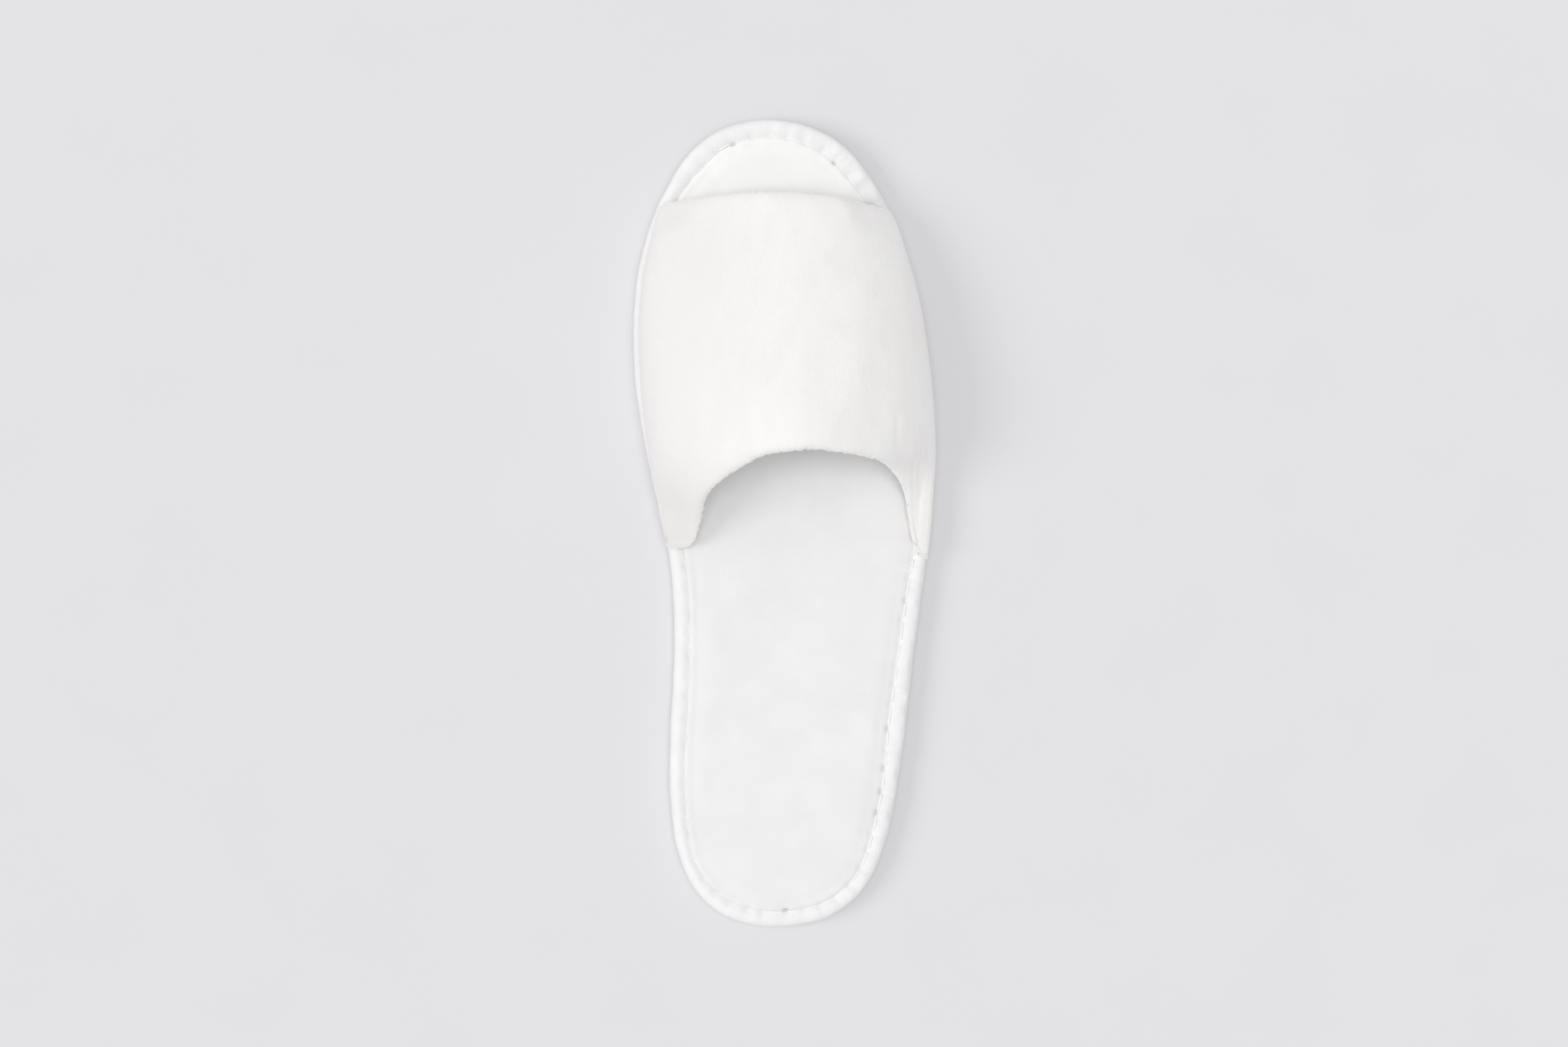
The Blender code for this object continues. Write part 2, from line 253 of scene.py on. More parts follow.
# Sections of the vamp along the sole: station, crown as a share of the instep height, height of the
# belly, medial and lateral inset of the belly, and the fullness of the arch on the two sides.
TOE_SHARE = TOE_OPENING_HEIGHT / INSTEP_HEIGHT
SECTIONS = np.array(
    [
        (0.457, 1.025, 10.5 * MM, 0.2 * MM, 0.7 * MM, 1.10, 1.08),
        (0.509, 1.025, 11.6 * MM, 0.0 * MM, 0.2 * MM, 1.25, 1.04),
        (0.551, 1.025, 12.6 * MM, 0.2 * MM, 0.2 * MM, 1.60, 1.15),
        (0.596, 1.00, 13.5 * MM, 1.2 * MM, 0.4 * MM, 2.05, 1.62),
        (0.684, 0.925, 13.8 * MM, 2.0 * MM, 0.6 * MM, 2.35, 1.90),
        (0.789, 0.76, 13.2 * MM, 2.1 * MM, 0.7 * MM, 2.35, 2.00),
        (0.905, TOE_SHARE, 11.2 * MM, 2.2 * MM, 1.1 * MM, 2.00, 1.95),
    ]
)
CROWN, BELLY, MEDIAL_INSET, LATERAL_INSET, MEDIAL_FULL, LATERAL_FULL = range(1, 7)

# The vamp's path from its sewn margin up to its belly: inset, rise and share of the wall.
FOOT = (
    (2.0 * MM, 0.00, 0.0),
    (3.4 * MM, 0.00, 0.24),
    (6.2 * MM, 0.00, 0.26),
    (7.4 * MM, 0.12, 0.30),
    (7.6 * MM, 0.38, 0.36),
    (6.0 * MM, 0.70, 0.50),
)
BELLY_WALL = 0.78
# The fold under the belly stops short of the leg's end and of the toe edge, which hang over it.
FOLD_SHORT = 6.5 * MM

# How the vamp's four corners settle on the tape: side (0 medial, 1 lateral), station of the corner,
# length over which it lies down, length of the whole stretch (negative: back from the toe edge), how far
# it comes down to what lies under it, how far in and how far up it does so, how far its rim leans in
# over the footbed, how far its belly spreads, and share of its thickness lost.
CORNERS = (
    (0, 0.4695, 0.5 * MM, 24 * MM, 0.96, 15 * MM, 11 * MM, 1.3 * MM, 1.0 * MM, 0.62),
    (1, 0.4570, 17 * MM, 50 * MM, 0.96, 19 * MM, 15 * MM, 0.0 * MM, 0.9 * MM, 0.55),
    (0, 0.8925, 0.5 * MM, -13 * MM, 0.55, 15 * MM, 11 * MM, 0.0 * MM, 1.0 * MM, 0.50),
    (1, 0.8865, 0.5 * MM, -15 * MM, 0.50, 15 * MM, 11 * MM, 0.0 * MM, 0.8 * MM, 0.50),
)
# Lengths over which a corner starts to lean, its belly's spread fades, and its lying part ends inwards.
LEAN_RISE = 7 * MM
SPREAD_REACH = 9 * MM
LYING_FADE = 4.5 * MM
# What lies under the corners: inset, and height of the tape's or the footbed's top there, in mm.
UNDER_CORNER = MM * np.array(
    [(-2.0, 7.0), (-0.5, 8.1), (0.5, 9.0), (2.0, 9.55), (4.0, 9.5), (5.5, 9.1), (8.0, 9.0), (14.0, 9.5)]
)

# The collar's edge: the angle round the vamp's arch and the station where the vamp ends there.
COLLAR = np.array(
    [
        (0, 0.4755),
        (4, 0.4715),
        (9, 0.4698),
        (14, 0.4695),
        (19, 0.4700),
        (23, 0.4730),
        (26, 0.4800),
        (30, 0.5000),
        (36, 0.524),
        (46, 0.544),
        (63, 0.568),
        (78, 0.584),
        (97.8, 0.590),
        (114.9, 0.585),
        (135.0, 0.5745),
        (142.2, 0.5650),
        (148.4, 0.5520),
        (152.6, 0.5300),
        (155.4, 0.5030),
        (158.2, 0.4810),
        (161.5, 0.4680),
        (168.0, 0.4600),
        (180, 0.4570),
    ]
)
ARCH_ANGLES = (*range(0, 20, 5), *range(18, 162, 4), *range(165, 181, 5))
# The toe edge: its station on the crown, and how far it falls back on the medial and the lateral side.
TOE_EDGE_STATION = 0.9035
TOE_EDGE_DROP = (0.011, 0.017)


def section(column, y):
    """A column of the vamp's table of sections, at y."""
    return smooth_table(SECTIONS[:, 0], SECTIONS[:, column], y / LENGTH + 0.5)


def over_belly(places):
    """How far points lie above the vamp's belly."""
    return places[..., 2] - section(BELLY, places[..., 1]) - lift(places[..., 1])


def foot_point(side, inset, rise, y):
    """Points of the vamp between its sewn margin and its belly."""
    height = MARGIN_HEIGHT + rise * (section(BELLY, y) - MARGIN_HEIGHT)
    return raise_plan(np.column_stack([side_x(side, y, inset), y]), height)


def arch_point(angle, y):
    """Points of the vamp's arch, from the medial belly over the crown at 90 degrees."""
    medial = side_x(0, y, 0) + section(MEDIAL_INSET, y) + UPPER_WALL / 2
    lateral = side_x(1, y, 0) - section(LATERAL_INSET, y) - UPPER_WALL / 2
    belly = section(BELLY, y)
    crown = section(CROWN, y) * INSTEP_HEIGHT - UPPER_WALL / 2
    fullness = section(MEDIAL_FULL if angle < 90 else LATERAL_FULL, y)
    turn = math.radians(angle)
    reach = np.sign(90 - angle) * abs(math.cos(turn)) ** (2 / fullness)
    rise = abs(math.sin(turn)) ** (2 / fullness)
    x = (medial + lateral) / 2 - (lateral - medial) / 2 * reach
    return raise_plan(np.column_stack([x, y]), belly + rise * (crown - belly))


def toe_edge_y(angle):
    drop = TOE_EDGE_DROP[0] if angle < 90 else TOE_EDGE_DROP[1]
    return station_y(TOE_EDGE_STATION - drop * math.cos(math.radians(angle)) ** 2)


def collar_y(angle):
    return station_y(smooth_table(COLLAR[:, 0], COLLAR[:, 1], angle))


# Tools.

# Faces that meet at more than this keep a hard edge.
CREASE_ANGLE = math.radians(60)


def add_primitive(name, add, **settings):
    """A primitive under its own name, with nothing else selected."""
    bpy.ops.object.select_all(action="DESELECT")
    add(**settings)
    piece = bpy.context.active_object
    piece.name = name
    piece.data.name = name
    return piece


def lay(piece, places):
    """Puts a piece's points in their places, in the order in which the primitive made them."""
    piece.data.vertices.foreach_set("co", np.asarray(places, np.float32).ravel())
    piece.data.update()


def lay_sheet(name, places, calc_uvs=True):
    """A sheet of faces through rows and columns of points."""
    sheet = add_primitive(
        name,
        bpy.ops.mesh.primitive_grid_add,
        x_subdivisions=places.shape[1] - 1,
        y_subdivisions=places.shape[0] - 1,
        size=LENGTH,
        calc_uvs=calc_uvs,
    )
    lay(sheet, places)
    return sheet


def points_of(piece):
    places = np.empty(len(piece.data.vertices) * 3, np.float32)
    piece.data.vertices.foreach_get("co", places)
    return places.reshape(-1, 3).astype(float)


def select_only(piece):
    bpy.ops.object.select_all(action="DESELECT")
    piece.select_set(True)
    bpy.context.view_layer.objects.active = piece


def close_seams(piece, reach=0.01 * MM):
    """Merges the points where a piece's sides meet, and turns its faces outwards."""
    select_only(piece)
    bpy.ops.object.mode_set(mode="EDIT")
    bpy.ops.mesh.select_all(action="SELECT")
    bpy.ops.mesh.remove_doubles(threshold=reach)
    bpy.ops.mesh.normals_make_consistent(inside=False)
    bpy.ops.object.mode_set(mode="OBJECT")


def fill_loop(piece, low, high, corner, span):
    """Fills the open loop between two heights with a grid that starts at the point nearest a corner."""
    bpy.context.view_layer.objects.active = piece
    bpy.ops.object.mode_set(mode="EDIT")
    bpy.ops.mesh.select_mode(type="VERT")
    bpy.ops.mesh.select_all(action="DESELECT")
    edit = bmesh.from_edit_mesh(piece.data)
    for edge in edit.edges:
        if edge.is_boundary and all(low < v.co.z < high for v in edge.verts):
            edge.select_set(True)
    loop = [v for v in edit.verts if v.select]
    start = min(loop, key=lambda v: (v.co.xy - Vector(corner)).length)
    edit.select_history.clear()
    edit.select_history.add(start)
    bmesh.update_edit_mesh(piece.data)
    bpy.ops.mesh.fill_grid(span=span)
    bpy.ops.object.mode_set(mode="OBJECT")


def scale_uv(piece, width, height):
    """Gives the piece's UV map real lengths, in metres."""
    layer = piece.data.uv_layers[0]
    layer.name = "cloth"
    uv = np.empty(len(layer.data) * 2, np.float32)
    layer.data.foreach_get("uv", uv)
    uv = uv.reshape(-1, 2) * (width, height)
    layer.data.foreach_set("uv", uv.astype(np.float32).ravel())


def add_marks(piece, marks):
    """Keeps a number at each point of a piece for its material to read."""
    attribute = piece.data.attributes.new("hole", "FLOAT", "POINT")
    attribute.data.foreach_set("value", np.asarray(marks, np.float32).ravel())


def value_noise(points, size, seed):
    """Soft random heights from -1 to 1, about a size apart."""
    shift = Vector((seed * 7.3, seed * 3.1, seed * 1.7))
    return np.array([noise.noise(Vector(point) / size + shift) for point in points])


def finish_piece(piece, node=None):
    """Smooth shading, then what the piece rides on and stands for."""
    select_only(piece)
    bpy.ops.object.shade_smooth_by_angle(angle=CREASE_ANGLE)
    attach(piece, "root")
    if node:
        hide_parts(node)


# The seam that sews the tape through the sole: needle holes, and how far inside the edge it runs.

STITCH = 7.6 * MM
STITCHES = round(EDGE_LENGTH / STITCH)
HOLES = (np.arange(STITCHES) + 0.5 + rng.uniform(-0.09, 0.09, STITCHES)) * EDGE_LENGTH / STITCHES
HOLE_PULL = rng.uniform(0.45, 1.0, STITCHES)
# The seam's inset in the tables of sections, and the inset at which its places are looked up.
TABLE_SEAM = 5.3 * MM
SEAM_MIDDLE = 5.5 * MM
# Places in plan, in mm, where the thread has pulled its hole open, and how dark it looks there: how deep it
# sinks, and how much painted shade it takes.
OPEN_HOLES = np.array(
    [
        (43, -25.5, 0.35),
        (40, -68, 0.35),
        (39, -76, 0.40),
        (37, -86.5, 0.40),
        (35, -94, 0.50),
        (33, -100, 0.50),
        (2, -137, 0.65),
        (-30, 131.5, 0.55),
        (-22.5, 135.5, 0.55),
        (9.5, 129, 0.50),
        (17, 126, 0.55),
    ]
)
OPEN_REACH = 4.0 * MM


def seam_inset(along):
    """The seam wanders a little, and runs further in at the toe and along the lateral waist, where no
    vamp is sewn in under it."""
    turn = 2 * math.pi * np.asarray(along) / EDGE_LENGTH
    wander = 0.35 * np.sin(3 * turn + 0.6) + 0.25 * np.sin(7 * turn + 2.1) + 0.12 * np.sin(17 * turn)
    x, y = np.moveaxis(on_edge(along, np.zeros_like(turn)), -1, 0)
    station = y / LENGTH + 0.5
    waist = smooth_step(station, 0.16, 0.28) * (1 - smooth_step(station, 0.42, 0.47)) * (x > 0)
    wide = 1.5 * smooth_step(station, 0.90, 0.96) + 0.75 * waist
    return (5.55 + (1 - sewn(y)) * (0.35 + wander) + wide) * MM


def open_gaps(along):
    """The seam's places in plan, and how far each lies from every open hole."""
    plan = on_edge(along, np.full(np.shape(along), SEAM_MIDDLE))
    return plan, np.linalg.norm(plan[..., None, :] - OPEN_HOLES[:, :2] * MM, axis=-1)


def tight(along):
    """1 where the seam is drawn tight, so that it hardly shows: all round but on the lateral side and
    beside open holes."""
    plan, gaps = open_gaps(along)
    behind_toe = 1 - smooth_step(plan[..., 1] / LENGTH + 0.5, 0.75, 0.85)
    lateral = smooth_step(plan[..., 0], 12 * MM, 32 * MM) * behind_toe
    return 1 - np.maximum(lateral, 0.8 * bell(gaps.min(axis=-1), 6 * MM))


def hole_gaps(along):
    """How far along the edge each place lies from every needle hole."""
    return (np.asarray(along)[..., None] - HOLES + EDGE_LENGTH / 2) % EDGE_LENGTH - EDGE_LENGTH / 2


def pull(along, length):
    """1 at a hard-pulled needle hole, fading to 0 over a length on both sides."""
    return (HOLE_PULL * bell(hole_gaps(along), length)).max(axis=-1)


def hole_gape():
    """How dark each needle hole looks, from 0 to 1: how deep it sinks and how much painted shade it takes.
    Most have closed up round the thread.
    """
    gaps = open_gaps(HOLES)[1]
    near = gaps.min(axis=1) < OPEN_REACH
    return rng.uniform(0.0, 0.16, STITCHES) + near * OPEN_HOLES[gaps.argmin(axis=1), 2]


HOLE_GAPE = hole_gape()


def hole_mark(along, inset):
    """The needle holes as marks on a piece: 1 in the middle of an open one, 0 between them."""
    reach = (1.5 - 0.35 * HOLE_GAPE) * MM
    long = (HOLE_GAPE * np.exp(-((hole_gaps(along) / reach) ** 4))).max(axis=-1)
    return long * bell(inset - seam_inset(along) + 0.15 * MM, 0.34 * MM)


# Section of the edge tape, from its upper lip round the outside to its lower lip and back inside: inset
# and height in mm, and how far the point follows the seam's wander.
TAPE = np.array(
    [
        (5.30, 7.42, 1.0),
        (5.42, 7.75, 1.0),
        (5.05, 8.22, 1.0),
        (4.20, 8.72, 0.9),
        (3.00, 9.02, 0.6),
        (1.75, 8.78, 0.2),
        (0.62, 7.75, 0.0),
        (0.08, 6.10, 0.0),
        (0.00, 4.40, 0.0),
        (0.32, 2.45, 0.0),
        (1.25, 0.95, 0.0),
        (2.70, 0.28, 0.0),
        (4.50, 0.22, 0.0),
        (5.45, 0.40, 0.0),
        (5.35, 0.98, 0.0),
        (4.00, 1.18, 0.0),
        (2.20, 1.32, 0.0),
        (1.42, 2.30, 0.0),
        (1.38, 4.60, 0.0),
        (1.55, 6.55, 0.0),
        (2.40, 7.12, 0.3),
        (4.20, 7.22, 0.9),
    ]
)
TAPE_TURNS = 1600
TAPE_SIDES = 44
TAPE_STEPS = 240


def tape_section(along):
    """The tape's section at lengths along the edge: insets, heights and the marks of needle holes."""
    knots = np.concatenate([TAPE, TAPE[:1]])
    at = chords(knots[:, :2])
    fine = spline(at, knots, np.linspace(0, at[-1], TAPE_STEPS + 1), closed=True)
    reach = chords(fine[:, :2])
    even = np.linspace(0, reach[-1], TAPE_SIDES, endpoint=False)
    inset, height, follows = [np.interp(even, reach, fine[:, k]) * MM for k in range(3)]
    follows = follows / MM
    near = pull(along, 1.5 * MM)[:, None]
    wide = pull(along, 2.6 * MM)[:, None]
    along = along[:, None]
    extra = seam_inset(along) - TABLE_SEAM
    # The thread pulls the lip down at each needle hole, and the tape swells between two holes.
    lip = smooth_step(inset, 1.6 * MM, 4.8 * MM)
    top = smooth_step(height, 6.9 * MM, 8.0 * MM)
    foot = 1 - smooth_step(height, 0.6 * MM, 2.0 * MM)
    mark = hole_mark(along + 0 * inset, inset + follows * extra) * top
    swell = 0.10 * MM * (1 - wide) * top
    sink = (0.42 * lip * top * near + 0.12 * top * wide) * MM
    waist = 0.22 * MM * wide * (1 - lip) * (top + foot) * smooth_step(inset, -0.4 * MM, 0.8 * MM)
    inset = inset + follows * extra + waist - 0.18 * MM * near * lip * top
    height = height + swell - sink + 0.12 * MM * foot * lip * near - 0.3 * MM * mark
    return inset, height, mark


def wrap(grid):
    """A grid whose first column and first row come again at its end."""
    grid = np.concatenate([grid, grid[:, :1]], axis=1)
    return np.concatenate([grid, grid[:1]])


def make_tape():
    """Folded knit tape round the whole edge, swollen between its stitches."""
    along = np.arange(TAPE_TURNS) / TAPE_TURNS * EDGE_LENGTH
    inset, height, mark = tape_section(along)
    # The band's slack makes its outer bend wander and its top ripple crosswise, most on the lateral side.
    run = np.column_stack([on_edge(along, np.full(TAPE_TURNS, 3 * MM)), along * 0])
    slack = (0.20 * value_noise(run, 9 * MM, 1) + 0.10 * value_noise(run, 3.2 * MM, 6)) * MM
    ripple = (0.16 * value_noise(run, 6 * MM, 7) + 0.14 * value_noise(run, 2.4 * MM, 8)) * MM
    ripple *= 1.2 + 2.6 * smooth_step(run[:, 0], 5 * MM, 30 * MM)
    outer = smooth_step(-inset, -4.5 * MM, -1.0 * MM)
    upper = smooth_step(height, 7.4 * MM, 8.4 * MM) * smooth_step(inset, 0.6 * MM, 2.0 * MM)
    upper *= 1 - 0.7 * smooth_step(inset, 4.4 * MM, 5.4 * MM)
    height = height + upper * (ripple[:, None] - 0.1 * MM)
    plan = on_edge(along[:, None], inset)
    outward = (plan - on_edge(along[:, None], inset + 1 * MM)) / MM
    plan = plan + outward * ((slack[:, None] - 0.15 * MM) * outer)[..., None]
    rounds = wrap(raise_plan(plan, height))
    tape = lay_sheet("edge_tape", rounds)
    add_marks(tape, wrap(mark))
    scale_uv(tape, chords(rounds[0])[-1], EDGE_LENGTH)
    close_seams(tape)
    return tape


# The footbed's section, from its underside round its margin and up to its top: inset and height in mm
# where it is plain, then where the vamp is sewn in over it, and how far the point follows the seam.
FOOTBED = np.array(
    [
        (14.0, 5.30, 14.0, 5.30, 0.0),
        (10.5, 5.30, 10.5, 5.30, 0.0),
        (8.4, 5.02, 8.4, 5.02, 0.0),
        (6.5, 4.93, 6.5, 4.93, 0.0),
        (2.8, 4.93, 2.8, 4.93, 0.0),
        (2.35, 5.2, 2.35, 5.05, 0.0),
        (2.25, 5.9, 2.25, 5.4, 0.0),
        (2.4, 6.7, 2.4, 5.7, 0.0),
        (2.9, 6.95, 2.9, 5.8, 0.0),
        (4.0, 7.00, 4.4, 5.8, 0.8),
        (4.6, 7.05, 5.6, 5.8, 1.0),
        (4.9, 7.35, 6.6, 5.8, 1.0),
        (5.10, 7.75, 7.1, 5.8, 1.0),
        (5.30, 8.02, 7.45, 5.85, 1.0),
        (5.55, 8.22, 7.75, 5.98, 1.0),
        (5.85, 8.40, 8.1, 6.2, 1.0),
        (6.25, 8.56, 8.5, 6.5, 1.0),
        (6.80, 8.70, 9.0, 6.95, 1.0),
        (7.50, 8.82, 9.6, 7.5, 1.0),
        (8.40, 8.95, 10.3, 8.0, 0.9),
        (9.50, 9.09, 11.2, 8.5, 0.7),
        (10.8, 9.24, 12.4, 8.92, 0.4),
        (12.4, 9.36, 13.8, 9.18, 0.1),
        (14.2, 9.44, 15.2, 9.34, 0.0),
    ]
)
FOOTBED_TURNS = 1000
FOOTBED_SPAN = 66
FOOTBED_TOP = 9.7 * MM
FOOTBED_RIM = FOOTBED[-1, 1] * MM
FOOTBED_UNDER = FOOTBED[0, 1] * MM
# The two fields that close the section begin at this inset, and one lies above this height.
FIELD_INSET = 14.3 * MM
FIELD_SPLIT = 8 * MM

# Dents in the footbed's top: place, half widths across and along, and depth.
FOOTBED_DENTS = (
    (-8 * MM, -98 * MM, 20 * MM, 22 * MM, 0.5 * MM),
    (30 * MM, -14 * MM, 7 * MM, 5 * MM, 0.35 * MM),
    (22 * MM, -20 * MM, 4 * MM, 3 * MM, 0.25 * MM),
    (-2 * MM, 125 * MM, 16 * MM, 4 * MM, 0.3 * MM),
    (-24 * MM, 118 * MM, 5 * MM, 5 * MM, 0.3 * MM),
    (16 * MM, 119 * MM, 5 * MM, 5 * MM, 0.3 * MM),
)


def footbed_relief(places):
    """Hand-pressed dents and the soft rise and fall of the padding, over the footbed's top."""
    x, y = places[:, 0], places[:, 1]
    relief = 0.10 * MM * value_noise(places * (1, 1, 0), 16 * MM, 2)
    relief += 0.04 * MM * value_noise(places * (1, 1, 0), 6 * MM, 3)
    for dent_x, dent_y, width, length, depth in FOOTBED_DENTS:
        relief -= depth * np.exp(-(((x - dent_x) / width) ** 2) - ((y - dent_y) / length) ** 2)
    return relief


def footbed_margin(along):
    """The footbed's pressed margin at lengths along the edge: its points, and its marks of needle holes."""
    station = on_edge(along, np.full(len(along), 6 * MM))[:, 1]
    share = sewn(station)[:, None]
    plain_in, plain_up, sewn_in, sewn_up, follows = FOOTBED.T
    extra = (1 - share) * (seam_inset(along)[:, None] - TABLE_SEAM)
    inset = (plain_in + share * (sewn_in - plain_in)) * MM + follows * extra
    height = (plain_up + share * (sewn_up - plain_up)) * MM
    seam = 5.45 * MM + extra
    top = smooth_step(height, 6.6 * MM, 7.9 * MM) * (1 - share)
    near = pull(along, 1.6 * MM)[:, None]
    wide = pull(along, 2.8 * MM)[:, None]
    pocket = bell(inset - seam - 0.25 * MM, 0.42 * MM)
    slope = smooth_step(inset, seam, seam + 1.2 * MM) * (1 - smooth_step(inset, seam + 2 * MM, seam + 5 * MM))
    mark = hole_mark(along[:, None] + 0 * inset, inset - 0.3 * MM) * top
    # Where the seam is tight the cloth lies up against the tape, and its needle holes pull it less.
    drawn = tight(along)[:, None]
    height = height + 0.58 * MM * drawn * top * bell(inset - seam, 1.5 * MM)
    pulled = 1 - 0.65 * drawn
    height = height - ((0.7 * pocket * near + 0.24 * slope * wide) * pulled + 0.3 * mark) * MM * top
    inset = inset + 0.34 * MM * slope * wide * top
    return raise_plan(on_edge(along[:, None], inset), height), mark


def make_footbed():
    """Brushed cloth over thin foam: pulled down into the seam, soft and flat in the middle."""
    margin, mark = footbed_margin(np.linspace(0, EDGE_LENGTH, FOOTBED_TURNS + 1))
    footbed = lay_sheet("footbed", margin.transpose(1, 0, 2), calc_uvs=False)
    add_marks(footbed, mark.T)
    close_seams(footbed)
    heel_corner = on_edge(0.06 * EDGE_LENGTH, np.array(14 * MM))
    fill_loop(footbed, 7.5 * MM, 20 * MM, heel_corner, FOOTBED_SPAN)
    fill_loop(footbed, 4 * MM, 8.4 * MM, heel_corner, FOOTBED_SPAN)
    places = points_of(footbed)
    distance = edge_distance(places[:, :2])
    raised = lift(places[:, 1])
    level = places[:, 2] - raised
    field = distance > FIELD_INSET
    crown = FOOTBED_TOP - (FOOTBED_TOP - FOOTBED_RIM) * (1 - smooth_step(distance, 13 * MM, 26 * MM))
    places[:, 2] = np.where(field & (level > FIELD_SPLIT), crown + raised, places[:, 2])
    places[:, 2] = np.where(field & (level <= FIELD_SPLIT), FOOTBED_UNDER + raised, places[:, 2])
    soft = smooth_step(distance, 8 * MM, 16 * MM) * (level > 7 * MM)
    places[:, 2] += soft * footbed_relief(places)
    lay(footbed, places)
    return footbed


# The vamp.

# Distances of the first rows from the toe edge or the collar, and the number of even rows between.
ROW_ENDS = np.array([0, 0.12, 0.35, 0.75, 1.3, 2.0, 2.9, 4.0]) * MM
VAMP_MIDDLE_ROWS = 54
VAMP_COLUMNS = 380
# Rows past the collar's rim and before the toe's where the lining starts and ends.
LINING_ENDS = (6, 8)

# Soft troughs and ridges in the vamp, in plan: from x, y to x, y, half width, and height, all in mm.
CREASES = np.array(
    [
        (36.7, 28.0, 36.9, 36.5, 0.9, -0.30),
        (-40.0, 2.0, -34.0, 36.0, 6.0, -0.75),
        (-46.0, 14.0, -44.0, 48.0, 5.0, 0.35),
        (-31.0, 24.0, -22.0, 44.0, 5.0, 0.30),
        (32.0, 38.0, 35.0, 92.0, 7.0, -0.40),
        (24.0, 52.0, 25.0, 100.0, 6.0, 0.25),
        (-22.0, 62.0, -20.0, 104.0, 7.0, -0.22),
        (6.0, 40.0, 3.0, 104.0, 11.0, 0.25),
        (44.0, -4.0, 40.0, 22.0, 4.5, -0.45),
    ]
)


def crease_heights(places):
    plan = places[:, :2] / MM
    heights = np.zeros(len(plan))
    for x0, y0, x1, y1, width, height in CREASES:
        start = np.array((x0, y0))
        run = np.array((x1, y1)) - start
        share = np.clip((plan - start) @ run / (run @ run), 0, 1)
        off = np.linalg.norm(plan - start - share[:, None] * run, axis=1)
        heights += height * bell(off, width)
    return heights * MM


def vamp_sheet():
    """The middle of the vamp's wall as the last gives it, and the wall's share of its thickness.

    Rows run from the toe edge to the collar, and columns from the medial margin to the lateral one.
    """
    arch = [(toe_edge_y(angle), collar_y(angle), 1, 1, partial(arch_point, angle)) for angle in ARCH_ANGLES]
    sides = [
        [(toe, collar, rise, wall, partial(foot_point, side, inset, rise)) for inset, rise, wall in FOOT]
        for side, (toe, collar, *_) in enumerate((arch[0], arch[-1]))
    ]
    columns = sides[0] + arch + sides[1][::-1]
    coarse = []
    for toe, collar, rise, _, place in columns:
        short = (1 - rise) * FOLD_SHORT
        toe, collar = toe - short, collar + short
        long = toe - collar
        middle = np.linspace(ROW_ENDS[-1], long - ROW_ENDS[-1], VAMP_MIDDLE_ROWS + 2)[1:-1]
        coarse.append(place(toe - np.concatenate([ROW_ENDS, middle, long - ROW_ENDS[::-1]])))
    coarse = np.array(coarse)
    even_rows = range(len(ROW_ENDS), coarse.shape[1] - len(ROW_ENDS))
    knots = np.mean([chords(coarse[:, row]) for row in even_rows], axis=0)
    even = np.linspace(0, knots[-1], VAMP_COLUMNS)
    middle = spline(knots, coarse, even).transpose(1, 0, 2)
    walls = [column[3] for column in columns]
    walls[len(FOOT)] = walls[-len(FOOT) - 1] = BELLY_WALL
    return middle, np.interp(even, knots, walls) * np.ones(len(middle))[:, None]


def settle_corners(middle, wall):
    """Lays the vamp's corners down on what is under them, in place.

    Gives how far each point is feathered out, and how far it lies flat.
    """
    feather = np.zeros(wall.shape)
    flat = np.zeros(wall.shape)
    for side, station, lying, stretch, settle, far_in, far_up, lean, spread, thinner in CORNERS:
        away = (middle[..., 1] - station_y(station)) * np.sign(stretch)
        mine = (middle[..., 0] > 0) == bool(side)
        share = mine * (1 - smooth_step(away, lying, abs(stretch)))
        belly = section(BELLY, middle[..., 1])
        rise = over_belly(middle)
        inward = 1 - 2 * side
        low = bell(np.clip(rise, 0, None), far_up)
        low *= 1 - smooth_step(inset_from(side, middle), far_in - LYING_FADE, far_in + LYING_FADE)
        middle[..., 0] += inward * lean * share * np.clip(rise / LEAN_RISE, 0, 1) ** 1.5
        middle[..., 0] -= inward * spread * share * bell(rise, SPREAD_REACH)
        wall *= 1 - thinner * share**1.5 * low
        under = np.interp(inset_from(side, middle), *UNDER_CORNER.T) + UPPER_WALL / 2 * wall
        # The fold under the belly comes down with it, less and less towards its sewn margin.
        folded = np.clip((belly + rise - MARGIN_HEIGHT) / (belly - MARGIN_HEIGHT), 0, 1)
        outside = np.interp(0, *UNDER_CORNER.T) + UPPER_WALL / 2 * wall
        drop = np.where(rise > 0, under - belly - rise, (outside - belly) * folded)
        middle[..., 2] += settle * share * low * np.minimum(drop, 0)
        feather += share * low
        down = smooth_step(settle * share * low, 0.6, 0.9)
        flat = np.maximum(flat, down * smooth_step(rise, 0.5 * MM, 2.5 * MM))
    return feather, flat


def tuck_fold(middle):
    """Keeps the fold under the belly out of sight, a little behind the leg's rim, in place."""
    rim = middle[-1]
    for side in (0, 1):
        mine = (rim[:, 0] > 0) == bool(side)
        mine &= over_belly(rim) > -2.5 * MM
        seen = rim[mine][np.argsort(rim[mine, 1])]
        edge = side_x(side, middle[..., 1], 0)
        inset = inset_from(side, middle)
        cap = np.interp(middle[..., 1], seen[:, 1], inset_from(side, seen)) - 1.2 * MM
        cap = np.maximum(cap, 3.9 * MM)
        hidden = (over_belly(middle) < 0) & (inset < 12 * MM) & (inset > cap)
        middle[..., 0] = np.where(hidden, edge + (1 - 2 * side) * cap, middle[..., 0])


